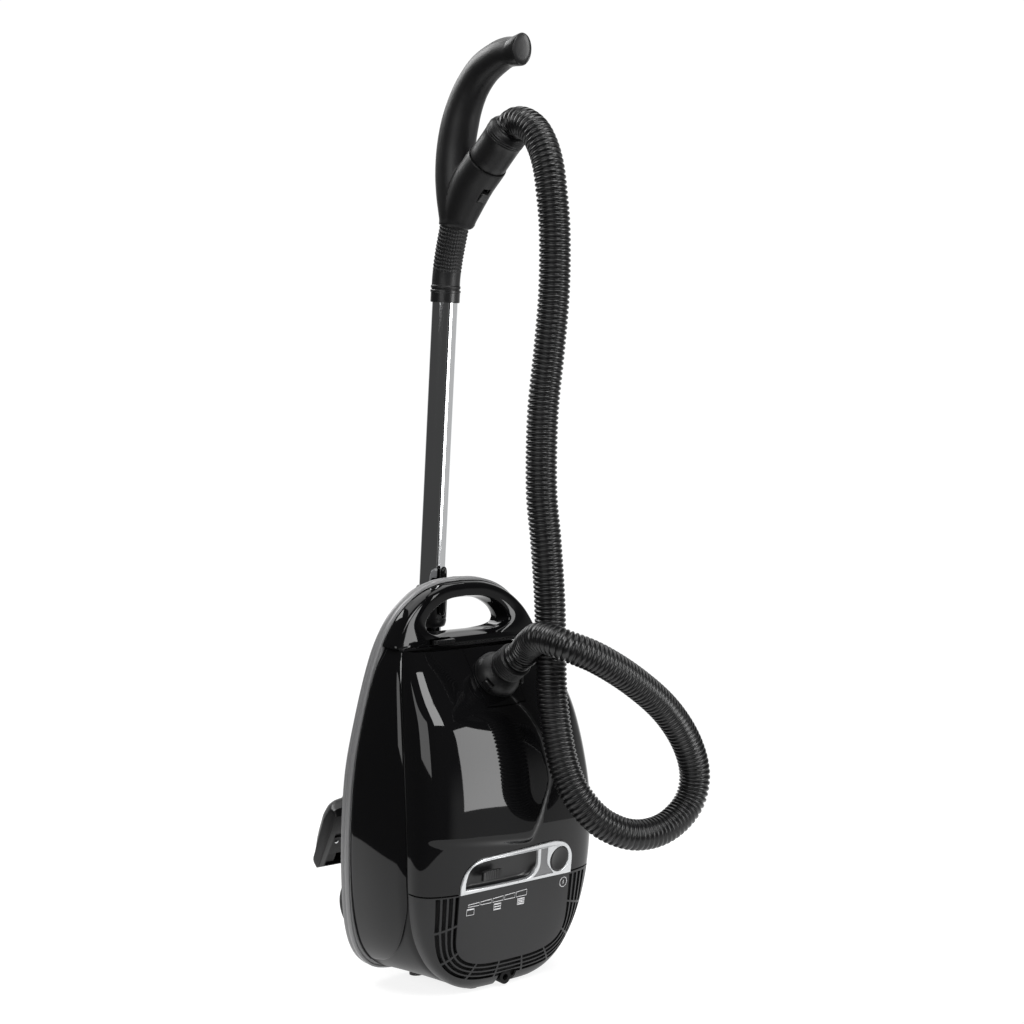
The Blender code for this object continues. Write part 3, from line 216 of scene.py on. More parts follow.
def smoothstep(low, high, x):
    t = min(max((x - low) / (high - low), 0.0), 1.0)
    return t * t * (3 - 2 * t)


def mirrored_loop(half):
    return list(half) + [Vector((-p[0], *p[1:])) for p in reversed(half[1:-1])]


def inset_outline(half, distance):
    """Move a right half outline of (X, Z) points inwards by a distance."""
    moved = []
    for i, point in enumerate(half):
        before, after = half[max(i - 1, 0)], half[min(i + 1, len(half) - 1)]
        along = (after - before).normalized()
        normal = Vector((-along.y, along.x))
        if i == 0:
            normal = Vector((0, 1))
        if i == len(half) - 1:
            normal = Vector((0, -1))
        moved.append(point + normal * distance)
    return moved


def at_depth(outline, depth):
    return [Vector((p[0], depth, p[1])) for p in outline]


def rounded(corners, radii, steps=8):
    """Round the corners of a convex outline of (X, Z) points with true arcs."""
    points = []
    count = len(corners)
    for i, radius in enumerate(radii):
        here = Vector(corners[i])
        a = (Vector(corners[i - 1]) - here).normalized()
        b = (Vector(corners[(i + 1) % count]) - here).normalized()
        if radius <= 0:
            points.append(here)
            continue
        half = acos(max(-1.0, min(1.0, a.dot(b)))) / 2
        centre = here + (a + b).normalized() * radius / sin(half)
        start = here + a * radius / tan(half) - centre
        end = here + b * radius / tan(half) - centre
        turn = atan2(start.x * end.y - start.y * end.x, start.dot(end))
        for k in range(steps + 1):
            angle = turn * k / steps
            points.append(centre + Vector((start.x * cos(angle) - start.y * sin(angle),
                start.x * sin(angle) + start.y * cos(angle))))
    return points


# ---- the shared front surface ----
CREASE_WIDTH = [(z, x) for x, _, z in CREASE[1:]]
CREASE_DEPTH = [(z, y) for _, y, z in CREASE[1:]]
# Right edge of the raised middle of the lid (Z, X), and its left edge, which runs along the flank.
BULGE_RIGHT = mm((205, 12), (225, 22), (246.5, 31), (272, 42), (292, 42), (323, 36.5), (348, 26),
    (367.5, 13), (385, 0))
BULGE_HEIGHT, BULGE_RISE = 0.0036, 0.0062


def bulge_at(x, height):
    right = value_at(BULGE_RIGHT, height)
    side = 1 - smoothstep(right - 0.004, right + 0.008, x)
    top = 1 - smoothstep(0.35, 0.392, height)
    low = smoothstep(0.196, 0.208, height + 0.1 * min(x, 0.0))
    rise = BULGE_RISE * smoothstep(-0.095, right + 0.015, x)
    return (BULGE_HEIGHT + rise) * side * top * low


def front_point(t, height, inset=0.0):
    half_width = value_at(CREASE_WIDTH, height) - inset
    edge = value_at(CREASE_DEPTH, height) - GAP
    centre = value_at(CENTRE_LINE, height) + inset
    crown = (1 - min(abs(t), 1.0) ** 4) ** (1 / 3)
    return Vector((t * half_width, edge + (centre - edge) * crown, height))


def front_depth(x, height):
    return front_point(x / value_at(CREASE_WIDTH, height), height).y


def on_front(x, height, lift=0.0):
    return Vector((x, front_depth(x, height) - lift, height))


# ---- mesh helpers ----
def attach(made, body, node=None):
    """Make a piece ride on a body and stand for a CAD node."""
    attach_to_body(made, body)
    if node:
        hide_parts(node)


def link(name, mesh, material, body=None, node=None, matrix=MACHINE, smooth=32):
    """Carry a mesh into world space and give it its material; without a body it is attached later."""
    mesh.name = name
    mesh.transform(matrix)
    mesh.shade_smooth()
    mesh.set_sharp_from_angle(angle=radians(smooth))
    mesh.materials.clear()
    mesh.materials.append(material)
    made = bpy.data.objects.new(name, mesh)
    scene.collection.objects.link(made)
    if body:
        attach(made, body, node)
    return made


def to_mesh(data):
    bmesh.ops.remove_doubles(data, verts=data.verts, dist=1e-6)
    bmesh.ops.recalc_face_normals(data, faces=data.faces)
    mesh = bpy.data.meshes.new("piece")
    data.to_mesh(mesh)
    data.free()
    return mesh


def add_grid(data, rows, wrap=False, closed=False):
    """Quads over rows of points; wrap joins each row's ends and closed joins the last row to the first."""
    verts = [[data.verts.new(p) for p in row] for row in rows]
    count = len(verts[0])
    pairs = list(zip(verts, verts[1:])) + ([(verts[-1], verts[0])] if closed else [])
    for low, high in pairs:
        for j in range(count if wrap else count - 1):
            k = (j + 1) % count
            data.faces.new((low[j], low[k], high[k], high[j]))
    return verts


def loops_mesh(loops, closed=False, caps=True):
    data = bmesh.new()
    verts = add_grid(data, loops, wrap=True, closed=closed)
    if caps and not closed:
        data.faces.new(list(reversed(verts[0])))
        data.faces.new(verts[-1])
    return to_mesh(data)


def grid_mesh(rows):
    data = bmesh.new()
    add_grid(data, rows)
    return to_mesh(data)


def circle(radius, height, count=64):
    steps = [2 * pi * i / count for i in range(count)]
    return [Vector((radius * cos(a), radius * sin(a), height)) for a in steps]


def lathe_mesh(profile, count=64, hollow=False):
    return loops_mesh([circle(r, z, count) for r, z in profile], closed=hollow)


def placed(location, direction=(0, 0, 1), parent=MACHINE):
    turn = Vector((0, 0, 1)).rotation_difference(Vector(direction)).to_matrix()
    return parent @ Matrix.Translation(location) @ turn.to_4x4()


def soften(made, width, segments=3, angle=30):
    """Round the sharp edges of a piece."""
    step = made.modifiers.new("edge", "BEVEL")
    step.width = width
    step.segments = segments
    step.limit_method = "ANGLE"
    step.angle_limit = radians(angle)
    step.harden_normals = False
    return made


def thicken(made, thickness, offset=-1.0):
    step = made.modifiers.new("wall", "SOLIDIFY")
    step.thickness = thickness
    step.offset = offset
    return made


def boolean(target, other_mesh, operation, matrix=MACHINE):
    """Apply a Boolean with a helper mesh, which is then removed."""
    helper = bpy.data.objects.new("helper", other_mesh)
    other_mesh.transform(matrix)
    scene.collection.objects.link(helper)
    step = target.modifiers.new("step", "BOOLEAN")
    step.operation = operation
    step.solver = "EXACT"
    step.object = helper
    apply_all(target)
    bpy.data.objects.remove(helper)


def cut(target, other_mesh, matrix=MACHINE):
    boolean(target, other_mesh, "DIFFERENCE", matrix)


def unite(target, other_mesh, matrix=MACHINE):
    boolean(target, other_mesh, "UNION", matrix)


def apply_all(made):
    graph = bpy.context.evaluated_depsgraph_get()
    graph.update()
    mesh = bpy.data.meshes.new_from_object(made.evaluated_get(graph))
    made.modifiers.clear()
    made.data = mesh


def box_mesh(size, centre=(0, 0, 0)):
    data = bmesh.new()
    bmesh.ops.create_cube(data, size=1.0)
    bmesh.ops.scale(data, vec=size, verts=data.verts)
    bmesh.ops.translate(data, vec=centre, verts=data.verts)
    return to_mesh(data)


def tube_frames(path):
    """Point, side and normal along a path, turned as little as possible."""
    tangents = []
    for i in range(len(path)):
        tangents.append((path[min(i + 1, len(path) - 1)] - path[max(i - 1, 0)]).normalized())
    side = tangents[0].orthogonal().normalized()
    frames = []
    for point, tangent in zip(path, tangents):
        side = (side - tangent * side.dot(tangent)).normalized()
        frames.append((point, side, tangent.cross(side)))
    return frames


def tube_mesh(path, radii, count=24, caps=True):
    loops = []
    for (point, side, normal), radius in zip(tube_frames(path), radii):
        loops.append([point + side * radius * cos(a) + normal * radius * sin(a)
            for a in (2 * pi * k / count for k in range(count))])
    return loops_mesh(loops, caps=caps)


# ---- materials ----
def socket(node, name, value):
    node.inputs[name].default_value = value


def noise_fac(nodes, links, place, scale, detail):
    texture = nodes.new("ShaderNodeTexNoise")
    socket(texture, "Scale", scale)
    socket(texture, "Detail", detail)
    links.new(place, texture.inputs["Vector"])
    return texture.outputs["Fac"]


def add_bump(nodes, links, height, strength, distance):
    bump = nodes.new("ShaderNodeBump")
    socket(bump, "Strength", strength)
    socket(bump, "Distance", distance)
    links.new(height, bump.inputs["Height"])
    links.new(bump.outputs["Normal"], nodes["Principled BSDF"].inputs["Normal"])


def make_plastic(name, colour, rough, grain=0.0, grain_size=1500.0, spread=0.08, specular=0.5,
        coat=0.0, metallic=0.0, wear=0.1, alpha=1.0):
    """Moulded plastic: slight tone drift, uneven polish and a fine moulded grain."""
    material = bpy.data.materials.new(name)
    material.use_nodes = True
    nodes, links = material.node_tree.nodes, material.node_tree.links
    shader = nodes["Principled BSDF"]
    socket(shader, "Metallic", metallic)
    socket(shader, "Specular IOR Level", specular)
    socket(shader, "Coat Weight", coat)
    socket(shader, "Coat Roughness", 0.03)
    socket(shader, "Alpha", alpha)
    place = nodes.new("ShaderNodeTexCoord").outputs["Object"]
    tone = nodes.new("ShaderNodeMix")
    tone.data_type = "RGBA"
    socket(tone, "A", (*[c * (1 - spread) for c in colour], 1))
    socket(tone, "B", (*[c * (1 + spread) for c in colour], 1))
    links.new(noise_fac(nodes, links, place, 9.0, 4.0), tone.inputs["Factor"])
    links.new(tone.outputs["Result"], shader.inputs["Base Color"])
    polish = nodes.new("ShaderNodeMapRange")
    socket(polish, "To Min", rough * (1 - wear))
    socket(polish, "To Max", rough * (1 + wear))
    links.new(noise_fac(nodes, links, place, 26.0, 5.0), polish.inputs["Value"])
    links.new(polish.outputs["Result"], shader.inputs["Roughness"])
    if grain:
        add_bump(nodes, links, noise_fac(nodes, links, place, grain_size, 2.0), grain, 0.0002)
    return material


GLOSS_BLACK = make_plastic("gloss_black", (0.0035, 0.0035, 0.0038), 0.04, specular=0.28, wear=0.25)
SATIN_BLACK = make_plastic("satin_black", (0.006, 0.006, 0.0064), 0.36, grain=0.12, specular=0.27)
MATTE_BLACK = make_plastic("matte_black", (0.0062, 0.0062, 0.0066), 0.44, grain=0.3, grain_size=1100.0,
    specular=0.36)
GRILLE_GREY = make_plastic("grille_grey", (0.013, 0.013, 0.0136), 0.38, grain=0.22, specular=0.32)
TRIM_BLACK = make_plastic("trim_black", (0.0085, 0.0085, 0.0088), 0.3, grain=0.1, specular=0.4)
GREY_STRIP = make_plastic("grey_strip", (0.19, 0.19, 0.193), 0.34, grain=0.15, specular=0.5)
SILVER = make_plastic("silver_paint", (0.6, 0.61, 0.62), 0.26, grain=0.1, grain_size=2600.0,
    metallic=0.55, spread=0.03)
HOSE_BLACK = make_plastic("hose_black", (0.0045, 0.0045, 0.0048), 0.3, grain=0.06, specular=0.48)
RUBBER = make_plastic("rubber_black", (0.016, 0.016, 0.0165), 0.62, grain=0.4, grain_size=900.0)
# Near-black colour of inner parts; on the sheet behind the grille slots it is painted shade.
INSIDE_BLACK_AND_SHADE = make_plastic("inside_black_and_shade", (0.003, 0.003, 0.0032), 0.7, grain=0.2, specular=0.2)
SMOKE = make_plastic("smoke_window", (0.16, 0.16, 0.165), 0.1, specular=0.5, alpha=0.9, coat=0.5)
PRINT_WHITE = make_plastic("print_white", (0.62, 0.62, 0.63), 0.45, grain=0.1)
FLEECE = make_plastic("filter_fleece", (0.7, 0.7, 0.67), 0.9, grain=0.9, grain_size=700.0)
BAG_PAPER = make_plastic("bag_paper", (0.42, 0.36, 0.27), 0.85, grain=0.7, grain_size=420.0,
    spread=0.15)
BOARD_GREEN = make_plastic("board_green", (0.012, 0.1, 0.035), 0.38, grain=0.2, spread=0.2)
MOTOR_GREY = make_plastic("motor_grey", (0.2, 0.2, 0.21), 0.42, grain=0.3)


def make_metal(name, colour, rough, brushed=0.0):
    """Plated or brushed metal, with faint streaks along it if it is brushed."""
    material = make_plastic(name, colour, rough, metallic=1.0, spread=0.03, wear=0.35)
    nodes, links = material.node_tree.nodes, material.node_tree.links
    if brushed:
        place = nodes.new("ShaderNodeTexCoord").outputs["Object"]
        stretch = nodes.new("ShaderNodeMapping")
        socket(stretch, "Scale", (900.0, 900.0, 14.0))
        links.new(place, stretch.inputs["Vector"])
        streaks = noise_fac(nodes, links, stretch.outputs["Vector"], 1.0, 2.0)
        add_bump(nodes, links, streaks, brushed, 0.0001)
    return material


CHROME = make_metal("chrome_plate", (0.78, 0.79, 0.8), 0.055)
STEEL = make_metal("plain_steel", (0.5, 0.5, 0.51), 0.26, brushed=0.3)


# ---- hose ----
def make_hose():
    """Ribbed hose along the route, with its rings a pitch apart."""
    line = smooth_curve(HOSE_ROUTE[1:-1], 420)
    line = [Vector(HOSE_ROUTE[0])] + line + [Vector(HOSE_ROUTE[-1])]
    length = sum((b - a).length for a, b in zip(line, line[1:]))
    shape = [0.0, 0.0009, 0.0019, 0.0024, 0.0024, 0.0024, 0.0019, 0.0009]
    steps = len(shape)
    rings = int(length / HOSE_PITCH) * steps
    path = resample(line, rings + 1)
    radii = [HOSE_RADIUS - 0.0024 + shape[i % steps] for i in range(rings + 1)]
    mesh = tube_mesh(path, radii, 44)
    mesh.transform(WORLD)
    mesh.shade_smooth()
    mesh.materials.append(HOSE_BLACK)
    hose = bpy.data.objects.new("hose_ribbed", mesh)
    scene.collection.objects.link(hose)
    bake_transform(hose)
    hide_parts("hose")
    world_line = [WORLD @ p for p in resample(line, 300)]


make_hose()


# ---- body shells ----
def make_rim():
    """Grey strip with a soft lip, a groove and a second band."""
    outer = smooth_curve(OUTER_OUTLINE, 150)
    soft = 0.002
    section = [(RIM_DEPTH, RIM_FRONT), (0.0052, RIM_FRONT), (0.0046, RIM_FRONT + 0.0003),
        (0.0042, RIM_FRONT + 0.0013), (0.0036, RIM_FRONT + 0.0013), (0.0032, RIM_FRONT + 0.0002),
        (0.0026, RIM_FRONT - 0.0002)]
    for k in range(7):
        a = pi / 2 * k / 6
        section.append((soft * (1 - sin(a)), RIM_FRONT + soft * (1 - cos(a))))
    section += mm((0, -0.6), (0.7, 0), (0.7, 0.8), (0, 1.4))
    for k in range(7):
        a = pi / 2 * k / 6
        section.append((soft * (1 - cos(a)), RIM_BACK - soft * (1 - sin(a))))
    section.append((RIM_DEPTH, RIM_BACK))
    loops = [mirrored_loop(at_depth(inset_outline(outer, inset), depth)) for inset, depth in section]
    link("rim_strip", loops_mesh(loops, closed=True), GREY_STRIP, "cleaner_body", "rim_bumper",
        smooth=50)


SIDE_ROWS = 120


def side_wall(count=SIDE_ROWS):
    """Matching points on the strip, middle and crease of the right side wall, bottom to top."""
    edge = smooth_curve(HOUSING_EDGE, count)
    crease = smooth_curve(CREASE, count)
    rows = []
    for i in range(count):
        back = Vector((edge[i][0], RIM_FRONT - GAP, edge[i][1]))
        front = crease[i] + Vector((0, 0.0012, 0))
        swell = 0.003 * smoothstep(0.09, 0.14, back.x)
        rows.append((back, front, swell))
    return rows


def wall_point(row, s, lift=0.0):
    """Point of the side wall between the strip (s = 0) and the crease (s = 1)."""
    back, front, swell = row
    point = back.lerp(front, s)
    outward = (front - back).cross(Vector((0, 0, 1))).normalized()
    if outward.x < 0:
        outward = -outward
    roll = 0.003 * max(0.0, (s - 0.9) / 0.1) ** 2
    return point + outward * (lift - roll * min(1.0, back.x / 0.1)) + X_AXIS * swell * sin(pi * s)


def make_housing():
    """Whole side and end wall between the strip and the crease, closed inwards by its thickness."""
    rows = side_wall()
    steps = [0, 0.08, 0.2, 0.35, 0.5, 0.65, 0.8, 0.88, 0.92, 0.95, 0.975, 1.0]
    outer = []
    for s in steps:
        half = [wall_point(row, s) for row in rows]
        half[0].x = 0.0
        outer.append(half + [Vector((0.0, half[-1].y, half[-1].z))])
    inner = []
    for half in (outer[-1], outer[len(steps) // 2], outer[0]):
        flat = inset_outline([Vector((p.x, p.z)) for p in half], WALL)
        flat[-1] = Vector((0.0, flat[-2].y))
        inner.append([Vector((q[0], p.y, q[1])) for p, q in zip(half, flat)])
    loops = [mirrored_loop(half) for half in outer + inner]
    link("main_casing", loops_mesh(loops, closed=True), SATIN_BLACK, "cleaner_body", "main_housing",
        smooth=40)


def make_side_panels():
    """Gloss leaf-shaped inserts over both side walls."""
    rows = side_wall()
    first, last = 27, SIDE_ROWS - 1
    for side, label in ((1, "right"), (-1, "left")):
        grid = []
        for i in range(first, last + 1):
            share = (i - first) / 22
            reach = sqrt(max(0.0, 1 - (1 - min(share, 1.0)) ** 2)) if share < 1 else 1.0
            top = smoothstep(0, 10, last - i)
            low, high = 0.02, 0.04 + 0.945 * reach
            grid.append([wall_point(rows[i], low + (high - low) * k / 16, 0.0006 + 0.0012 * top)
                for k in range(17)])
        for row in grid:
            for point in row:
                point.x *= side
        mesh = grid_mesh(grid)
        made = link(f"side_insert_{label}", mesh, GLOSS_BLACK, "cleaner_body", f"side_panel_{label}")
        thicken(made, 0.0012, offset=0.0)
        soften(made, 0.0004, 2, 50)


def make_base():
    """Underside shell with the wheel pockets."""
    outline = [Vector(p) for p in OUTER_OUTLINE[:11]]
    half = smooth_curve(outline + [Vector((0.118, 0.42)), Vector((0.085, 0.4265)),
        Vector((0.0, 0.4275))], 90)
    levels = [(0.01, RIM_BACK + GAP), (0.0104, 0.014), (0.0115, 0.019), (0.0135, 0.0228),
        (0.0165, 0.0248), (0.02, BASE_BACK), (0.06, BASE_BACK), (0.062, BASE_BACK - 0.0012),
        (0.064, BASE_BACK - 0.0012), (0.066, BASE_BACK)]
    loops = [mirrored_loop(at_depth(inset_outline(half, inset), depth)) for inset, depth in levels[:6]]
    made = link("underside", loops_mesh(loops), MATTE_BLACK, "cleaner_body", "base_shell")
    for side in (-1, 1):
        cut(made, box_mesh((0.0255, 0.06, 0.0715),
            (side * WHEEL_HUB.x, WHEEL_HUB.y + 0.008, WHEEL_HUB.z)))
    cut(made, lathe_mesh(mm((21.2, 0), (21.2, 50)), 40), placed(CASTOR - Vector((0, 0.0004, 0)),
        (0, 1, 0)))
    soften(made, 0.001, 2, 40)


def make_carry_handle():
    """Arch over the finger opening, swelling softly from the strip to its front."""
    arch = smooth_curve([(0.1215, HANDLE_BAR_BOTTOM)] + OUTER_OUTLINE[11:], 70)
    opening = smooth_curve([(0.0, OPENING_LOW), (0.03, OPENING_LOW), (0.054, OPENING_LOW + 0.001),
        (OPENING_HALF_WIDTH, OPENING_LOW + 0.011), (0.052, OPENING_LOW + 0.027),
        (0.028, OPENING_HIGH - 0.003), (0.0, OPENING_HIGH)], 79)

    def outline(inset):
        side = inset_outline([Vector((0.123, 0.41))] + arch, inset)[1:]
        side[0] = Vector((side[0].x, HANDLE_BAR_BOTTOM))
        bar = [Vector((side[0].x * k / 9, HANDLE_BAR_BOTTOM)) for k in range(9)]
        return bar + side

    def sloped(points, extra=0.0):
        return [Vector((p.x, HANDLE_FRONT + extra + (p.y - HANDLE_BAR_BOTTOM) * HANDLE_SLOPE, p.y))
            for p in points]

    def widened(share):
        """Opening outline moved outwards into the arch by a share of the way."""
        edge = outline(0.0085)
        return [p.lerp(q, share) for p, q in zip(opening, edge)]

    loops = [at_depth(outline(0.0105), RIM_FRONT + 0.0115), at_depth(outline(0.0105), RIM_FRONT - GAP),
        at_depth(outline(0.003), RIM_FRONT - GAP), sloped(outline(0.0032), 0.016),
        sloped(outline(0.0038), 0.009), sloped(outline(0.005), 0.004), sloped(outline(0.0066), 0.0014),
        sloped(outline(0.009)), sloped(widened(0.36), 0.0002), sloped(widened(0.3), 0.001),
        sloped(widened(0.25), 0.0034), sloped(widened(0.16), 0.01), sloped(widened(0.06), 0.0165),
        sloped(widened(0.015), 0.019), sloped(opening, 0.0205), at_depth(opening, RIM_FRONT + 0.0085),
        at_depth(widened(0.06), RIM_FRONT + 0.0115)]
    made = link("carry_arch", loops_mesh([mirrored_loop(loop) for loop in loops], closed=True),
        GLOSS_BLACK, "cleaner_body", "carry_handle", smooth=50)
    cut(made, box_mesh((0.0352, 0.014, 0.0068), (-0.046, HANDLE_FRONT, 0.4333)))


make_rim()
make_housing()
make_side_panels()
make_base()
make_carry_handle()


# ---- lid and inlet ----
FRAME_TOP = mm((88.4, 160), (87.8, 168), (85.2, 175.2), (79.5, 182.6), (71.3, 188.1), (60, 191.2),
    (48, 192.1), (-2, 189.8), (-52, 187.8), (-64, 186.2), (-74.5, 181.2), (-82.6, 173.3), (-87.2, 164),
    (-88.5, 156))


def frame_outline(margin, low):
    """D-shaped outline of the control frame, moved outwards by a margin."""
    top = smooth_curve(FRAME_TOP, 60)
    grown = []
    for i, point in enumerate(top):
        along = (top[min(i + 1, 59)] - top[max(i - 1, 0)]).normalized()
        grown.append(point + Vector((along.y, -along.x)) * margin)
    return [Vector((grown[-1].x, low)), Vector((grown[0].x, low))] + grown


def make_lid():
    """Gloss lid with its raised egg-shaped middle."""
    low = SEAM_HEIGHT + 0.0016
    heights = [low + (LID_TOP - low) * k / 130 for k in range(131)]
    steps = [sin(pi / 2 * k / 48) for k in range(-48, 49)]
    rows = []
    for height in heights:
        row = []
        for t in steps:
            point = front_point(t, height)
            point.y -= bulge_at(point.x, height) * (1 - abs(t) ** 6)
            row.append(point)
        rows.append(row)
    made = link("lid_shell", grid_mesh(rows), GLOSS_BLACK, smooth=60)
    thicken(made, WALL, offset=-1.0)
    apply_all(made)
    outline = frame_outline(0.0008, SEAM_HEIGHT - 0.02)
    cut(made, loops_mesh([at_depth(outline, -0.19), at_depth(outline, -0.08)]))
    cut(made, box_mesh((0.0664, 0.2, 0.0964), (0, -0.08, 0.3634 + 0.0482)))
    made.data.set_sharp_from_angle(angle=radians(50))
    soften(made, 0.0006, 2, 50)
    attach(made, "lid_body", "lid")


def make_bridge():
    rows = []
    low = INLET_LOW + 0.0006
    across = [INLET_HALF_WIDTH * (j / 12 - 1) for j in range(25)]
    for k in range(31):
        height = low + (LID_TOP - low) * k / 30
        rows.append([on_front(x, height, bulge_at(x, height)) for x in across])
    made = link("inlet_panel", grid_mesh(rows), GLOSS_BLACK, "cleaner_body", "inlet_bridge")
    thicken(made, 0.006, offset=-1.0)
    apply_all(made)
    cut(made, lathe_mesh(mm((16, -30), (16, 30)), 48), placed(SOCKET, SOCKET_AXIS))
    soften(made, 0.0005, 2, 50)


SOCKET_AXIS = Vector((0.0, -cos(SOCKET_UP), sin(SOCKET_UP)))
MOUTH_AXIS = Vector((0.0, -cos(MOUTH_UP), sin(MOUTH_UP)))


def ribbed_profile(start, end, radius, depth, pitch):
    """Outer profile of a soft ribbed sleeve."""
    points = []
    count = int(round((end - start) / pitch))
    for k in range(count * 4 + 1):
        z = start + (end - start) * k / (count * 4)
        points.append((radius - depth * (0.5 - 0.5 * cos(pi / 2 * (k % 4))), z))
    return points


def make_socket():
    """Matt dome, its two catches and the ribbed cuff of the hose."""
    dome = mm((18.5, 0), (30.2, 0))
    for k in range(15):
        a = radians(-6 + 78 * k / 14)
        dome.append((0.03 * cos(a) ** 0.72, 0.0035 + 0.0215 * sin(a)))
    dome += mm((19, 24.6), (18.5, 24))
    matrix = placed(SOCKET, SOCKET_AXIS)
    made = link("hose_dome", lathe_mesh(dome, 96, hollow=True), MATTE_BLACK, "cleaner_body",
        "hose_socket", matrix=matrix, smooth=45)
    for side, label in ((-1, "left"), (1, "right")):
        outward = Vector((side * cos(radians(28)), -sin(radians(28)), 0.0))
        spin = Matrix.Rotation(atan2(outward.y, outward.x), 4, "Z")
        spot = matrix @ Matrix.Translation(outward * 0.0303 + Vector((0, 0, 0.0095))) @ spin
        cut(made, box_mesh((0.0092, 0.0128, 0.0108)), spot)
        catch = box_mesh((0.004, 0.0118, 0.0098))
        catch_piece = link(f"catch_button_{label}", catch, TRIM_BLACK, f"catch_{label}_body",
            f"socket_catch_{label}", matrix=spot)
        soften(catch_piece, 0.0012, 3)
    soften(made, 0.0006, 2, 40)
    cuff = mm((15, 3), (18, 3), (18, 25.2), (21.5, 25.8), (22.6, 27.5))
    cuff += ribbed_profile(0.0285, 0.0455, 0.0222, 0.0008, 0.0034)
    cuff += mm((20.5, 47), (15, 47))
    link("hose_cuff_body", lathe_mesh(cuff, 72, hollow=True), MATTE_BLACK, "body_cuff",
        "hose_cuff_body_end", matrix=matrix, smooth=60)


make_lid()
make_bridge()
make_socket()


# ---- exhaust grille ----
def u_path(out, count):
    """U-shaped line round the middle panel, moved outwards by a distance, as (X, Z) points."""
    low = 0.05 - out * 0.86

    def half_width(height):
        return 0.0885 + out * (0.72 + 0.58 * smoothstep(0.03, 0.13, height))

    points = [Vector((-half_width(SEAM_HEIGHT), SEAM_HEIGHT - 0.002))]
    for k in range(33):
        a = pi * k / 32
        reach = abs(cos(a)) ** 0.62 * (1 if cos(a) >= 0 else -1)
        drop = sin(a) ** 0.62
        height = low + (0.1 - low) * (1 - drop)
        points.append(Vector((-half_width(height) * reach, height)))
    points.append(Vector((half_width(SEAM_HEIGHT), SEAM_HEIGHT - 0.002)))
    return resample(points, count)


SLOT_ROWS, SLOTS_PER_ROW, SLOT_STEPS = 4, 9, 30
SLOT_PITCH, SLOT_WIDTH = 0.0066, 0.0044


def make_grille():
    """Satin grille with four rows of slots round a plain middle panel."""
    high = SEAM_HEIGHT - 0.0004
    heights = [GRILLE_LOW + (high - GRILLE_LOW) * (1 - cos(pi / 2 * k / 70)) for k in range(71)]
    steps = [sin(pi / 2 * k / 50) for k in range(-50, 51)]
    rows = [[front_point(t, height) for t in steps] for height in heights]
    made = link("exhaust_cover", grid_mesh(rows), GRILLE_GREY, smooth=50)
    thicken(made, WALL, offset=-1.0)
    apply_all(made)
    cutters = bmesh.new()
    for row in range(SLOT_ROWS):
        out = 0.003 + SLOT_PITCH * row
        inner = u_path(out - SLOT_WIDTH / 2, SLOTS_PER_ROW * SLOT_STEPS + 1)
        outer = u_path(out + SLOT_WIDTH / 2, SLOTS_PER_ROW * SLOT_STEPS + 1)
        for k in range(SLOTS_PER_ROW):
            first, last = SLOT_STEPS * k + (1 if k else 0), SLOT_STEPS * (k + 1)
            ring = inner[first:last] + list(reversed(outer[first:last]))
            low = [cutters.verts.new((p.x, -0.18, p.y)) for p in ring]
            high = [cutters.verts.new((p.x, -0.09, p.y)) for p in ring]
            cutters.faces.new(low)
            cutters.faces.new(list(reversed(high)))
            for i in range(len(ring)):
                j = (i + 1) % len(ring)
                cutters.faces.new((low[i], high[i], high[j], low[j]))
    cut(made, to_mesh(cutters))
    outlet = rounded(mm((-16.5, 0), (16.5, 0), (14.5, 33), (-14.5, 33)), [0, 0, 0.006, 0.006])
    cut(made, loops_mesh([at_depth(outlet, -0.19), at_depth(outlet, -0.08)]))
    made.data.set_sharp_from_angle(angle=radians(40))
    attach(made, "grille_body", "exhaust_grille")
    # Painted shade: a near-black sheet behind the slots hides the pale filter and stands in for the shade
    # inside the grille.
    slot_shade_rows = []
    for k in range(25):
        height = GRILLE_LOW + 0.006 + (SEAM_HEIGHT - GRILLE_LOW - 0.008) * k / 24
        slot_shade_rows.append([front_point(sin(pi / 2 * j / 16) * 0.95, height, 0.006)
            for j in range(-16, 17)])
    slot_shade_sheet = link("grille_backing", grid_mesh(slot_shade_rows), INSIDE_BLACK_AND_SHADE, "grille_body")
    thicken(slot_shade_sheet, 0.0008)


def strip_on_front(data, points, width, lift, closed=False):
    """Thin raised line along (X, Z) points on the front surface."""
    points = [Vector(p) for p in points]
    count = len(points)
    low, high = [], []
    for i, point in enumerate(points):
        before = points[(i - 1) % count] if closed or i else point
        after = points[(i + 1) % count] if closed or i < count - 1 else point
        along = (after - before).normalized()
        side = Vector((-along.y, along.x)) * width / 2
        low.append(on_front(*(point - side), lift))
        high.append(on_front(*(point + side), lift))
    if closed:
        low.append(low[0])
        high.append(high[0])
    add_grid(data, [low, high])


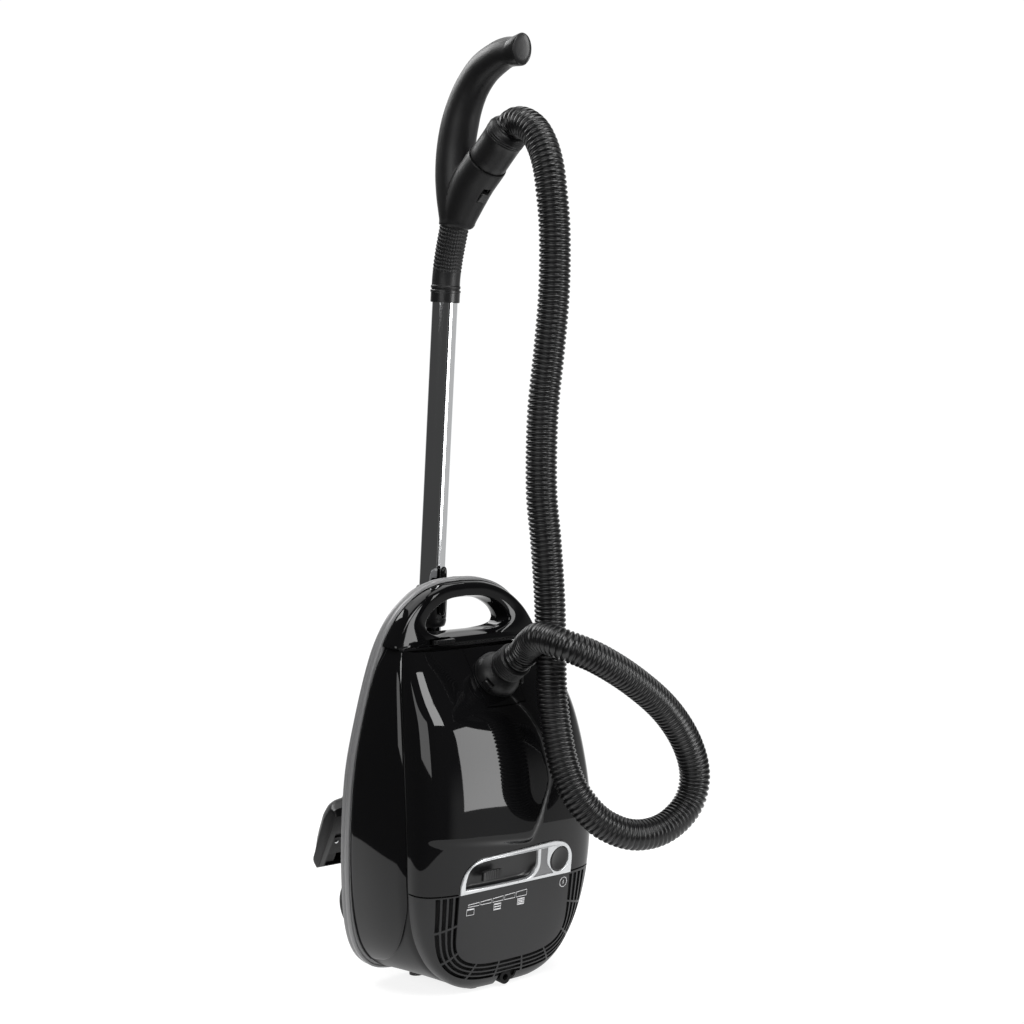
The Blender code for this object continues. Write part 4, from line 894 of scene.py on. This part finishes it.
def make_marks():
    """Printed marks: five growing power cells, three small squares and a power ring."""
    data = bmesh.new()
    lift, width = 0.0002, 0.0008
    start, cell = -0.076, 0.019
    for k in range(5):
        x0, x1 = start + k * cell, start + (k + 1) * cell - 0.0022
        high0, high1 = 0.0028 + 0.0009 * k, 0.0028 + 0.0009 * (k + 1)
        low = 0.129
        strip_on_front(data, [(x0, low), (x1, low), (x1, low + high1), (x0, low + high0)], width, lift,
            True)
    for x, bars in ((-0.072, 1), (-0.03, 3), (0.008, 4)):
        for j in range(bars):
            z = 0.1255 - 0.0062 * j / max(bars - 1, 1)
            strip_on_front(data, [(x - 0.005, z), (x + 0.005, z)], width * 1.6, lift)
        strip_on_front(data, [(x - 0.0055, 0.1185), (x + 0.0055, 0.1185), (x + 0.0055, 0.1262),
            (x - 0.0055, 0.1262)], width, lift, True)
    ring = [(0.079 + p.x, 0.1345 + p.y) for p in circle(0.0062, 0, 28)]
    strip_on_front(data, ring, width, lift, True)
    strip_on_front(data, mm((79, 132.2), (79, 137.2)), width * 1.5, lift)
    made = link("printed_marks", to_mesh(data), PRINT_WHITE, "grille_body")
    thicken(made, 0.0001)


make_grille()
make_marks()


# ---- controls ----
BUTTON_CENTRE, BUTTON_RADIUS = Vector((0.0665, 0.168)), 0.0158
SLIDER_CENTRE = Vector((-0.045, 0.166))
FRAME_LIFT = 0.0024


def drape(mesh, lift):
    """Bend a flat mesh made around Y = 0 on to the front surface."""
    for vertex in mesh.vertices:
        x, y, z = vertex.co
        vertex.co.y = y + front_depth(x, max(z, SEAM_HEIGHT)) - lift
    return mesh


def plate_mesh(outlines, thickness, bevel):
    """Flat plate with holes, from (X, Z) outlines, its front face at Y = 0."""
    curve = bpy.data.curves.new("plate", "CURVE")
    curve.dimensions = "2D"
    curve.fill_mode = "BOTH"
    curve.extrude = thickness / 2 - bevel
    curve.bevel_depth = bevel
    curve.bevel_resolution = 2
    for outline in outlines:
        line = curve.splines.new("POLY")
        line.points.add(len(outline) - 1)
        for spot, point in zip(line.points, outline):
            spot.co = (point[0], point[1], 0, 1)
        line.use_cyclic_u = True
    holder = bpy.data.objects.new("plate", curve)
    scene.collection.objects.link(holder)
    bpy.context.view_layer.update()
    mesh = bpy.data.meshes.new_from_object(holder.evaluated_get(bpy.context.evaluated_depsgraph_get()))
    bpy.data.objects.remove(holder)
    mesh.transform(Matrix(((1, 0, 0, 0), (0, 0, -1, thickness / 2), (0, 1, 0, 0), (0, 0, 0, 1))))
    return mesh


def smooth_loop(points, corners):
    """Closed outline that curves through its points, with true corners at some of them."""
    outline = []
    marks = list(corners) + [corners[0] + len(points)]
    for start, end in zip(marks, marks[1:]):
        run = [points[k % len(points)] for k in range(start, end + 1)]
        outline += smooth_curve(run, 2 + 7 * (len(run) - 2) if len(run) > 2 else 2)[:-1]
    return outline


def make_controls():
    outer = frame_outline(0.0, SEAM_HEIGHT + 0.0007)
    recess = smooth_loop(mm((-83.8, 150.6), (-83.6, 164.3), (-76.8, 179.4), (-57.2, 185.2),
        (-14, 186.2), (29, 186.6), (30, 166), (21, 152.8), (6.3, 150), (-40, 150)), (0, 5))
    window = smooth_loop(mm((17.6, 150), (26.2, 153.3), (33, 164), (32.2, 186.6), (45.5, 186.6),
        (46.8, 166.2), (54, 156.6), (60, 150)), (0, 3, 4, 7))
    turns = [radians(345 * k / 39) for k in range(40)]
    bore = [BUTTON_CENTRE + (BUTTON_RADIUS + 0.0012) * Vector((cos(a), sin(a))) for a in turns]
    mesh = plate_mesh([outer, recess, window, bore], 0.006, 0.0009)
    link("silver_frame", drape(mesh, FRAME_LIFT), SILVER, "cleaner_body", "control_frame", smooth=45)
    scoop_rows = []
    for k in range(17):
        sink = sin(pi / 2 * k / 16)
        share = 1 - 0.3 * (k / 16) ** 2
        middle = Vector((-0.03, 0.168))
        scoop_rows.append([on_front(*(middle + (p - middle) * share),
            FRAME_LIFT - 0.0008 - 0.009 * sink) for p in recess])
    data = bmesh.new()
    verts = add_grid(data, scoop_rows, wrap=True)
    data.faces.new(verts[-1])
    scoop = link("slider_scoop", to_mesh(data), TRIM_BLACK, "cleaner_body", smooth=60)
    thicken(scoop, 0.0006, offset=1.0)
    pane = plate_mesh([window], 0.0014, 0.0003)
    link("indicator_pane", drape(pane, FRAME_LIFT - 0.0012), SMOKE, "cleaner_body", "bag_full_window")
    back = plate_mesh([window], 0.0008, 0.0002)
    link("indicator_back", drape(back, FRAME_LIFT - 0.0042), SILVER, "cleaner_body")


def make_button():
    """Round push button with a dished face."""
    profile = mm((0.1, 1.7))
    for k in range(1, 12):
        r = 0.0145 * k / 11
        profile.append((r, 0.0017 - 0.0017 * (r / 0.0145) ** 2))
    profile += [(0.0152, 0.0002), (BUTTON_RADIUS, 0.001), (BUTTON_RADIUS, 0.01), (0.0001, 0.01)]
    depth = front_depth(BUTTON_CENTRE.x, BUTTON_CENTRE.y) - FRAME_LIFT + 0.0004
    matrix = placed((BUTTON_CENTRE.x, depth, BUTTON_CENTRE.y), (-0.1, 1, 0.0))
    link("power_button", lathe_mesh(profile, 72), TRIM_BLACK, "on_off_body", "on_off_button",
        matrix=matrix, smooth=40)


def make_slider():
    """Thumb piece of the power slider: a ribbed saddle on a thin blade."""
    x, z = SLIDER_CENTRE
    depth = front_depth(x, z)
    rows = []
    for k in range(25):
        s = k / 24
        dish = 0.0026 * (2 * s - 1) ** 2 - 0.0026
        ridge = 0.0004 * (1 if k % 3 == 1 else 0)
        rows.append([Vector((x - 0.015 + 0.03 * s, depth - 0.0006 - dish - ridge, z + 0.0055 * j / 4))
            for j in range(-4, 5)])
    made = link("power_thumb", grid_mesh(rows), TRIM_BLACK, "power_slider_body", "power_slider")
    thicken(made, 0.004, offset=1.0)
    soften(made, 0.0008, 2)


make_controls()
make_button()
make_slider()


# ---- wand, sleeve and handle ----
WAND = MACHINE @ Matrix.Translation((0, WAND_DEPTH, 0))


def make_tubes():
    lower = mm((13.8, 252), (15, 252), (15, 800), (13.8, 800))
    link("wand_tube_lower", lathe_mesh(lower, 96, hollow=True), CHROME, "cleaner_body", "lower_tube",
        matrix=WAND)
    upper = mm((15.3, 456), (16.35, 456), (16.35, 864), (15.3, 864))
    link("wand_tube_upper", lathe_mesh(upper, 96, hollow=True), CHROME, "wand_upper", "upper_tube",
        matrix=WAND)


def make_lock():
    """Sleeve over the joint of the tubes with its long thumb slider."""
    sleeve = mm((15.35, 436), (18.6, 436), (19.2, 436.6), (20, 439.2), (20.6, 442), (20.6, 444.8),
        (20.2, 445.4), (20.2, 446.2), (20.6, 446.8), (20.6, 478), (20.2, 481), (19.4, 485),
        (18.8, 486), (16.65, 486), (16.65, 455.5), (15.35, 455.5))
    made = link("lock_body", lathe_mesh(sleeve, 72, hollow=True), SATIN_BLACK, "wand_upper",
        "lock_sleeve", matrix=WAND, smooth=30)
    cut(made, box_mesh((0.011, 0.006, 0.042), (0, -0.0208, 0.468)), WAND)
    line = smooth_curve(mm((-22.7, -13, 2), (-22.8, -11.8, 3.4), (-22.9, -8, 4.5), (-22.9, 0, 4.7),
        (-22.9, 18, 4.6), (-22.9, 40, 4.3), (-22.8, 47, 3.6), (-22.6, 50, 1.8)), 48)
    link("lock_thumb", swept_mesh(line, 28), GLOSS_BLACK, "lock_slider_body", "lock_slider",
        matrix=WAND @ Matrix.Translation((0, 0, 0.465)), smooth=60)
    collar = mm((16.65, 848), (18, 848), (18.5, 848.8), (18.5, 860), (18.8, 860.5), (19.2, 861),
        (19.2, 863), (18.8, 863.5), (16.65, 863.5))
    link("tube_ring", lathe_mesh(collar, 72, hollow=True), TRIM_BLACK, "wand_upper", "tube_collar",
        matrix=WAND, smooth=30)


def swept_mesh(stations, count, squash=1.0, shape=None):
    """Rings round a line in the middle plane; stations are (Y, Z, radius)."""
    loops = []
    for i, (y, z, radius) in enumerate(stations):
        before, after = stations[max(i - 1, 0)], stations[min(i + 1, len(stations) - 1)]
        tangent = Vector((0, after[0] - before[0], after[1] - before[1])).normalized()
        normal = Vector((0, tangent.z, -tangent.y))
        loop = []
        for k in range(count):
            a = 2 * pi * k / count
            reach = radius * (shape(i, a) if shape else 1.0)
            loop.append(Vector((cos(a) * reach * squash, y, z)) + normal * sin(a) * reach)
        loops.append(loop)
    return loops_mesh(loops)


def make_neck():
    """Bent neck with a band of fine diamond knurling and a wider ring at its lower end."""
    line = smooth_curve(mm((50, 860.5, 17.6), (50, 868, 17.8), (49.5, 882, 17.8), (47, 902, 17.8),
        (43.5, 920, 17.9), (37.2, 948, 18)), 152)

    def shape(i, a):
        around = 0.5 + 0.5 * cos(a * 34)
        along = 0.5 + 0.5 * cos(pi * i / 4)
        inside = smoothstep(44, 52, i) * (1 - smoothstep(142, 150, i))
        ring = 0.05 * smoothstep(8, 9, i) * (1 - smoothstep(14, 15, i))
        return 1.0 + ring + 0.05 * inside * (around * along - 0.4)

    link("neck", swept_mesh(line, 272, shape=shape), MATTE_BLACK, "wand_upper", "bent_neck", smooth=60)


def fuse(made, voxel, rounds):
    """Melt a piece made of crossing volumes into one skin with soft inner corners."""
    melt = made.modifiers.new("melt", "REMESH")
    melt.mode = "VOXEL"
    melt.voxel_size = voxel
    flow = made.modifiers.new("flow", "SMOOTH")
    flow.factor = 0.5
    flow.iterations = rounds
    apply_all(made)


def web_mesh(hook_line, branch_line):
    """Narrowing web that fills the fork between the hook and the hose branch."""
    levels, count = 16, 64
    web = []
    for k in range(levels + 1):
        level = 0.944 + 0.064 * k / levels
        hook = min(hook_line, key=lambda p: abs(p[1] - level))
        arm = min(branch_line, key=lambda p: abs(p[1] - level))
        middle, half = (hook[0] + arm[0]) / 2, abs(arm[0] - hook[0]) / 2
        radius = 0.0206 * (1 - 0.4 * smoothstep(0.5, 1.0, k / levels))
        ring = []
        for a in (2 * pi * n / count for n in range(count)):
            out = half * (1 if cos(a) > 0 else -1)
            ring.append(Vector((radius * sin(a), middle + out + radius * cos(a), level)))
        web.append(ring)
    return loops_mesh(web)


def make_grip():
    """Hooked grip with its hose branch and the bleed-air slider under it."""
    line = smooth_curve(GRIP_LINE + mm((-63.2, 1153.2, 17.2)), 124)

    def shape(i, a):
        back = max(0.0, -sin(a))
        swell = 0.016 * exp(-((i - 78) / 4) ** 2) * (1 if i < 78 else 0.3)
        return 1.0 + swell * back

    mouth_spot = BRANCH_START + MOUTH_AXIS * MOUTH_REACH
    below = mouth_spot - MOUTH_AXIS * 0.012
    branch_line = smooth_curve([(0.031, 0.9456, 0.019), (0.025, 0.962, 0.0222),
        (0.015, 0.9815, 0.0248), (0.003, 0.9995, 0.0262), (below.y, below.z, 0.0265),
        (mouth_spot.y, mouth_spot.z, 0.0265)], 60)
    grip = link("grip", swept_mesh(line, 72, 0.95, shape), MATTE_BLACK, smooth=40)
    unite(grip, swept_mesh(branch_line, 72))
    unite(grip, web_mesh(line, branch_line))
    fuse(grip, 0.0011, 16)
    branch = placed(BRANCH_START, MOUTH_AXIS)
    mouth = placed(mouth_spot, MOUTH_AXIS)
    trim = mm((0.1, -1), (40, -1), (40, 10), (0.1, 10))
    cut(grip, lathe_mesh(trim, 72), mouth)
    bore = mm((0.1, -30), (24, -30), (24, 10), (0.1, 10))
    cut(grip, lathe_mesh(bore, 72), mouth)
    cut(grip, box_mesh((0.0116, 0.01, 0.021), (0, -0.0287, 0.033)), branch)
    grip.data.set_sharp_from_angle(angle=radians(40))
    attach(grip, "wand_upper", "handle_grip")
    thumb = box_mesh((0.0108, 0.0045, 0.0138), (0, -0.0262, 0.03))
    slider = link("relief_thumb", thumb, TRIM_BLACK, "relief_body", "relief_slider", matrix=branch)
    soften(slider, 0.0011, 3)
    make_tip(Vector(GRIP_LINE[-1]))
    cuff = mm((15, -25), (23.5, -25), (23.5, 0.4), (24.6, 0.4), (25, 1), (24.9, 10), (24.8, 30),
        (25, 40))
    for k in range(3):
        z = 0.0405 + 0.003 * k
        cuff += [(0.0253, z), (0.0254, z + 0.0008), (0.0254, z + 0.0018), (0.0248, z + 0.0024)]
    cuff += mm((24.6, 49.5), (24, 52), (22.4, 54.4), (20, 55.6), (15, 55.6))
    link("hose_cuff_top", lathe_mesh(cuff, 72, hollow=True), MATTE_BLACK, "handle_cuff",
        "hose_cuff_handle_end", matrix=mouth, smooth=50)


def make_tip(tip):
    """Flared end of the hook with a flat, slightly dished face."""
    profile = [(-0.004, -0.0005, 0.9), (-0.004, -0.0005, 0.955), (-0.0025, -0.0003, 0.98),
        (0.001, 0.0001, 0.99), (0.008, 0.0012, 1.0), (0.0136, 0.0022, 1.0), (0.0144, 0.0023, 0.98),
        (0.0147, 0.0023, 0.94), (0.0141, 0.0023, 0.88), (0.0136, 0.0023, 0.6)]
    loops = []
    for reach, rise, share in profile:
        tall = share * (0.0178 + 0.0016 * smoothstep(0.0, 0.014, reach))
        wide = share * (0.0169 - 0.002 * smoothstep(0.0, 0.014, reach))
        loops.append([Vector((cos(a) * wide, tip.x - reach, tip.y + rise + sin(a) * tall))
            for a in (2 * pi * k / 72 for k in range(72))])
    link("grip_tip", loops_mesh(loops), TRIM_BLACK, "wand_upper", "grip_end_cap", smooth=50)


make_tubes()
make_lock()
make_neck()
make_grip()


# ---- floor head and parking parts ----
NOZZLE_TILT = radians(24)
HEAD_HALF_WIDTH, SOLE_DEPTH = 0.13, -0.0288
HEAD_MIDDLE = mm((-28.8, 4), (-28.8, -80), (-24, -84), (-12, -81), (2, -72), (13, -56), (18.5, -26),
    (18, -4), (6, 8.5), (-20, 11.5))
HEAD_END = mm((-28.8, 3), (-28.8, -78), (-25, -83), (-14.2, -78.7), (-12, -65), (-10, -50),
    (-8.5, -30), (-8, -15.3), (-13, 2), (-21.7, 7.5))
HEAD = MACHINE @ Matrix.Translation((0, WAND_DEPTH + 0.037, 0.208))
HEAD = HEAD @ Matrix.Rotation(NOZZLE_TILT, 4, "X")


def head_profile(swell, pinch=0.0):
    """Closed outline of the head's section, with rounded back corners."""
    points = [Vector((y0 + (y1 - y0) * swell, z0 + (z1 - z0) * swell))
        for (y0, z0), (y1, z1) in zip(HEAD_END, HEAD_MIDDLE)]
    outline = [points[0], points[1]] + smooth_curve(points[2:], 44)
    return [Vector((p.x - (p.x - SOLE_DEPTH) * pinch, p.y + (-0.038 - p.y) * pinch * 0.5))
        for p in outline]


def make_head():
    stations = [(1.0, 0.0, 0.16), (0.998, 0.0, 0.09), (0.992, 0.02, 0.035), (0.98, 0.08, 0.0),
        (0.955, 0.3, 0.0), (0.9, 0.52, 0.0), (0.85, 0.62, 0.0), (0.77, 0.69, 0.0), (0.7, 0.72, 0.0),
        (0.69, 0.78, 0.0), (0.66, 0.96, 0.0), (0.64, 1.0, 0.0), (0.3, 1.0, 0.0)]
    stations += [(-share, swell, pinch) for share, swell, pinch in reversed(stations)]
    loops = []
    for share, swell, pinch in stations:
        loops.append([Vector((share * HEAD_HALF_WIDTH, p.x, p.y)) for p in head_profile(swell, pinch)])
    head = link("floor_head", loops_mesh(loops), SATIN_BLACK, smooth=40, matrix=HEAD)
    cut(head, box_mesh((0.042, 0.06, 0.033), (0, 0.004, 0.001)), HEAD)
    for side in (-1, 1):
        lug = lathe_mesh(mm((0.1, -6), (10.5, -6), (11, -5.5), (11, 5.5), (10.5, 6), (0.1, 6)), 40)
        unite(head, lug, placed((side * 0.027, 0, -0.004), (1, 0, 0), HEAD))
    hollows = (  # plate recess, dust mouth and brush bed
        ((0.24, 0.01, 0.051), (0, SOLE_DEPTH - 0.002, -0.052)),
        ((0.21, 0.024, 0.013), (0, SOLE_DEPTH + 0.004, -0.069)),
        ((0.216, 0.014, 0.0046), (0, SOLE_DEPTH + 0.003, -0.03)))
    for size, centre in hollows:
        cut(head, box_mesh(size, centre), HEAD)
    soften(head, 0.0007, 3, 45)
    attach(head, "nozzle_body", "nozzle_head")
    plate = link("sole", box_mesh((0.239, 0.0016, 0.027), (0, SOLE_DEPTH + 0.0021, -0.047)),
        GRILLE_GREY, matrix=HEAD)
    soften(plate, 0.0005, 2, 45)
    attach(plate, "nozzle_body", "sole_plate")
    for side in (-1, 1):
        rivet = lathe_mesh(mm((0.1, 0), (2.6, 0), (2.4, 0.6), (1.4, 1), (0.1, 1.1)), 24)
        link(f"sole_rivet_{side}", rivet, CHROME, "nozzle_body",
            matrix=placed((side * 0.113, SOLE_DEPTH + 0.0013, -0.041), (0, -1, 0), HEAD))


TUFTS = 58


def make_brush():
    """Row of separate bristle tufts on a thin carrier."""
    data = bmesh.new()
    for k in range(TUFTS):
        x = -0.1062 + 0.2124 * k / (TUFTS - 1)
        for row in (-1, 1):
            z = -0.03 + row * 0.0009
            root = [Vector((x + 0.0007 * cos(a), -0.02, z + 0.0006 * sin(a)))
                for a in (2 * pi * j / 6 for j in range(6))]
            tip = [Vector((p.x + 0.0002 * sin(7 * k + row), -0.0269, p.z)) for p in root]
            verts = add_grid(data, [root, tip], wrap=True)
            data.faces.new(list(reversed(verts[0])))
            data.faces.new(verts[1])
    link("bristles", to_mesh(data), RUBBER, "brush_body", "brush_strip", matrix=HEAD)
    carrier = link("bristle_carrier", box_mesh((0.214, 0.0016, 0.0038), (0, -0.0198, -0.03)),
        TRIM_BLACK, "brush_body", matrix=HEAD)
    soften(carrier, 0.0004)


def make_pedal():
    rows = []
    for k in range(29):
        s = k / 28
        ridge = 0.0004 if k % 4 in (1, 2) and 3 < k < 26 else 0.0
        rows.append([Vector((-0.0275 + 0.055 * s, 0.0075 + ridge, -0.0015 - 0.017 * j / 8))
            for j in range(9)])
    made = link("brush_rocker", grid_mesh(rows), TRIM_BLACK, "pedal_body", "brush_pedal",
        matrix=HEAD @ Matrix.Translation((0, 0.0195, -0.022)))
    thicken(made, 0.0032, offset=1.0)
    soften(made, 0.0006, 2)


def make_elbow():
    """Curved neck from the tube to the head's hinge."""
    line = smooth_curve(mm((0, 251.5, 17.6), (0, 250, 18.4), (0, 244, 18.5), (4, 233, 17),
        (15, 220, 15), (27, 210, 12)), 40)
    elbow = link("head_elbow", swept_mesh(line, 56), SATIN_BLACK, matrix=WAND, smooth=50)
    barrel = mm((0.1, -20), (11.8, -20), (12.5, -19.3), (12.5, -10), (12, -9.4), (12, 9.4), (12.5, 10),
        (12.5, 19.3), (11.8, 20), (0.1, 20))
    unite(elbow, lathe_mesh(barrel, 48), placed((0, 0.037, 0.208), (1, 0, 0), WAND))
    elbow.data.set_sharp_from_angle(angle=radians(40))
    attach(elbow, "nozzle_neck_body", "nozzle_neck")


def make_parking():
    band = mm((15.3, 274), (17.2, 274), (17.8, 274.6), (17.8, 305.4), (17.2, 306), (15.3, 306))
    clip = link("park_band", lathe_mesh(band, 64, hollow=True), SATIN_BLACK, matrix=WAND, smooth=40)
    unite(clip, box_mesh((0.012, 0.005, 0.04), (0, -0.0178, 0.29)), WAND)
    soften(clip, 0.0007, 2, 45)
    attach(clip, "cleaner_body", "park_clip")
    bracket = link("park_keeper", box_mesh((0.0358, 0.0052, 0.0258),
        (0, BASE_BACK + 0.0029, KEEPER_HEIGHT)), SATIN_BLACK)
    cut(bracket, box_mesh((0.014, 0.02, 0.05), (0, BASE_BACK + 0.0129, KEEPER_HEIGHT)))
    soften(bracket, 0.0008, 3, 45)
    attach(bracket, "cleaner_body", "park_bracket")


make_head()
make_brush()
make_pedal()
make_elbow()
make_parking()


# ---- latch, wheels and feet ----
def make_release():
    """Lid release: a ribbed rounded key in the handle's lower bar."""
    rows = []
    for k in range(33):
        s = k / 32
        ridge = 0.0004 if k % 4 in (1, 2) and 4 < k < 28 else 0.0
        rows.append([Vector((-0.0166 + 0.0332 * s, -0.0023 - ridge, 0.0026 * j / 4))
            for j in range(-4, 5)])
    made = link("lid_key", grid_mesh(rows), TRIM_BLACK, "lid_release_body", "lid_release",
        matrix=MACHINE @ Matrix.Translation((-0.046, HANDLE_FRONT, HANDLE_BAR_BOTTOM + 0.0048)))
    thicken(made, 0.0044, offset=1.0)
    soften(made, 0.0007, 2)


def make_wheel(side, label):
    """Rubber-tyred wheel with a grooved tread and a dished disc."""
    half = 0.01
    profile = [(0.0046, -half), (0.01, -half), (0.011, -half + 0.0012), (0.0235, -half + 0.002),
        (0.025, -half + 0.0004), (0.03, -half), (0.0315, -half + 0.0004), (0.0326, -half + 0.0016)]
    for k in range(5):
        z = -0.007 + 0.0035 * k
        profile += [(0.033, z - 0.001), (0.033, z + 0.0006), (0.0324, z + 0.001), (0.0324, z + 0.0018)]
    profile += [(0.0326, half - 0.0016), (0.0315, half - 0.0004), (0.03, half), (0.025, half - 0.0004),
        (0.0235, half - 0.002), (0.011, half - 0.0012), (0.01, half), (0.0046, half)]
    centre = (side * WHEEL_HUB.x, WHEEL_HUB.y, WHEEL_HUB.z)
    made = link(f"wheel_{label}", lathe_mesh(profile, 96, hollow=True), RUBBER,
        matrix=placed(centre, (1, 0, 0)), smooth=40)
    attach(made, f"wheel_{label}_body", f"rear_wheel_{label}")


def make_castor():
    pivot = placed(CASTOR, (0, 1, 0))
    plate = mm((0.1, 0), (19.2, 0), (20, 0.8), (20, 3.7), (19.2, 4.5), (0.1, 4.5))
    fork = link("castor_yoke", lathe_mesh(plate, 64), SATIN_BLACK, matrix=pivot, smooth=40)
    for side in (-1, 1):
        unite(fork, box_mesh((0.003, 0.018, 0.015), (side * 0.009, 0, 0.0105)), pivot)
    soften(fork, 0.0005, 2, 45)
    attach(fork, "castor_body", "castor_fork")
    tread = mm((2.2, -6.5), (8.5, -6.5), (9.4, -6.1), (10, -5.2), (10, -0.8), (9.6, -0.4), (9.6, 0.4),
        (10, 0.8), (10, 5.2), (9.4, 6.1), (8.5, 6.5), (2.2, 6.5))
    link("castor_roller", lathe_mesh(tread, 56, hollow=True), RUBBER, "castor_wheel_body",
        "castor_wheel", matrix=placed((0, 0, 0.0155), (1, 0, 0), pivot), smooth=40)


make_release()
make_wheel(-1, "left")
make_wheel(1, "right")
make_castor()


# ---- inside ----
def make_bag():
    """Filled dust bag with soft folds, kept inside its compartment."""
    stations = mm((158.4, 78, 26), (166, 94, 31), (176, 101, 35), (205, 103.5, 38), (250, 103, 39),
        (295, 96, 34), (320, 90, 29), (336, 78, 23), (344.6, 64, 17))
    rows = smooth_curve(stations, 60)
    loops = []
    for z, wide, deep in rows:
        loop = []
        for k in range(120):
            a = 2 * pi * k / 120
            c, s = cos(a), sin(a)
            x = wide * copysign(abs(c) ** 0.42, c)
            y = deep * copysign(abs(s) ** 0.42, s)
            folds = max(0.0, noise.noise(Vector((x * 45, y * 60, z * 28))))
            creases = max(0.0, noise.noise(Vector((x * 130, y * 130, z * 90))))
            fold = 1 - 0.03 * folds - 0.012 * creases
            loop.append(Vector((x * fold, -0.052 + y * fold, z)))
        loops.append(loop)
    link("filled_bag", loops_mesh(loops), BAG_PAPER, "cleaner_body", "dust_bag", smooth=70)


def make_pleats(name, size, centre, pleats, node, upright=True):
    """Pleated filter pack; its folds run up, or from front to back."""
    x, y, z = (s / 2 for s in size)
    zigzag = [(-x + x * k / pleats, 0.32 if k % 2 else 1.0) for k in range(pleats * 2 + 1)]
    outline = [(across, -fold) for across, fold in zigzag] + list(reversed(zigzag))
    if upright:
        ends = [[Vector((across, fold * y, end * z)) for across, fold in outline] for end in (-1, 1)]
    else:
        ends = [[Vector((across, end * y, fold * z)) for across, fold in outline] for end in (-1, 1)]
    link(name, loops_mesh(ends), FLEECE, "cleaner_body", node, smooth=20,
        matrix=MACHINE @ Matrix.Translation(centre))


def make_wound_cord():
    """Turns of flex on the reel."""
    profile = mm((30.2, -19.2))
    for layer in range(12):
        z = -0.0176 + 0.0032 * layer
        for k in range(7):
            a = pi * k / 6
            profile.append((0.0455 + 0.0015 * sin(a), z - 0.0015 * cos(a)))
    profile.append((0.0302, 0.0192))
    link("wound_flex", lathe_mesh(profile, 72, hollow=True), HOSE_BLACK, "reel_body",
        matrix=placed(REEL_CENTRE, (0, 1, 0)), smooth=50)


make_bag()
make_pleats("exhaust_pleats", (0.15, 0.012, 0.06), (0, -0.118, 0.09), 24, "exhaust_filter")
make_pleats("motor_pleats", (0.11, 0.07, 0.008), (-0.04, -0.058, 0.148), 20, "motor_filter", False)
make_wound_cord()


# ---- materials of the CAD pieces that are kept ----
KEPT = {
    STEEL: ("wheel_axle_left", "wheel_axle_right", "reel_axle", "fan_cover"),
    SATIN_BLACK: ("bulkhead", "cord_reel"),
    RUBBER: ("foot_front_left", "foot_front_right", "foot_rear_left", "foot_rear_right",
        "motor_seal", "inlet_seal"),
    MOTOR_GREY: ("motor_housing", "fan_impeller"),
    SILVER: ("bag_holder",),
    BOARD_GREEN: ("control_board",),
    INSIDE_BLACK_AND_SHADE: ("cord_outlet",),
}
for material, names in KEPT.items():
    for name in names:
        node = bpy.data.objects[name]
        node.data.materials.clear()
        node.data.materials.append(material)


# ---- stage, light and surroundings ----
def make_floor():
    data = bmesh.new()
    bmesh.ops.create_circle(data, cap_ends=True, segments=96, radius=FLOOR_RADIUS)
    data.transform(Matrix.Translation(FLOOR_CENTRE))
    floor = bpy.data.objects.new("studio_floor", to_mesh(data))
    white = make_plastic("studio_white", (0.3, 0.3, 0.3), 0.7, spread=0.01, specular=0.0)
    shader = white.node_tree.nodes["Principled BSDF"]
    socket(shader, "Emission Color", (1, 1, 1, 1))
    socket(shader, "Emission Strength", FLOOR_GLOW)
    floor.data.materials.append(white)
    scene.collection.objects.link(floor)


def area_light(name, location, target, size, power):
    data = bpy.data.lights.new(name, "AREA")
    data.shape = "RECTANGLE"
    data.size, data.size_y = size
    data.energy = power
    lamp = bpy.data.objects.new(name, data)
    lamp.location = location
    aim = Vector(target) - Vector(location)
    lamp.rotation_euler = aim.to_track_quat("-Z", "Y").to_euler()
    scene.collection.objects.link(lamp)


def make_world():
    """Dim room with a white sweep behind the object and a low pale wall to the right."""
    world = bpy.data.worlds.new("studio")
    world.use_nodes = True
    nodes, links = world.node_tree.nodes, world.node_tree.links
    background = nodes["Background"]
    place = nodes.new("ShaderNodeTexCoord")

    def lobe(direction, start, end, strength):
        facing = nodes.new("ShaderNodeVectorMath")
        facing.operation = "DOT_PRODUCT"
        facing.inputs[1].default_value = direction
        links.new(place.outputs["Generated"], facing.inputs[0])
        glow = nodes.new("ShaderNodeMapRange")
        glow.interpolation_type = "SMOOTHSTEP"
        socket(glow, "From Min", start)
        socket(glow, "From Max", end)
        socket(glow, "To Max", strength)
        links.new(facing.outputs["Value"], glow.inputs["Value"])
        return glow.outputs["Result"]

    def combine(operation, first, second):
        step = nodes.new("ShaderNodeMath")
        step.operation = operation
        for value, entry in zip((first, second), step.inputs):
            if isinstance(value, float):
                entry.default_value = value
            else:
                links.new(value, entry)
        return step.outputs["Value"]

    sweep = lobe((0.656, 0.755, 0.0), 0.7, 0.93, 0.97)
    wall = combine("MULTIPLY", lobe((0.766, -0.643, 0.0), 0.5, 0.8, 0.5),
        lobe((0, 0, -1), -0.25, 0.0, 1.0))
    total = combine("ADD", combine("ADD", sweep, wall), 0.06)
    links.new(total, background.inputs["Strength"])
    background.inputs["Color"].default_value = (1, 1, 1, 1)
    scene.world = world
    scene.view_settings.view_transform = "Standard"


make_floor()
make_world()
for soft_box in SOFT_BOXES:
    area_light(*soft_box)
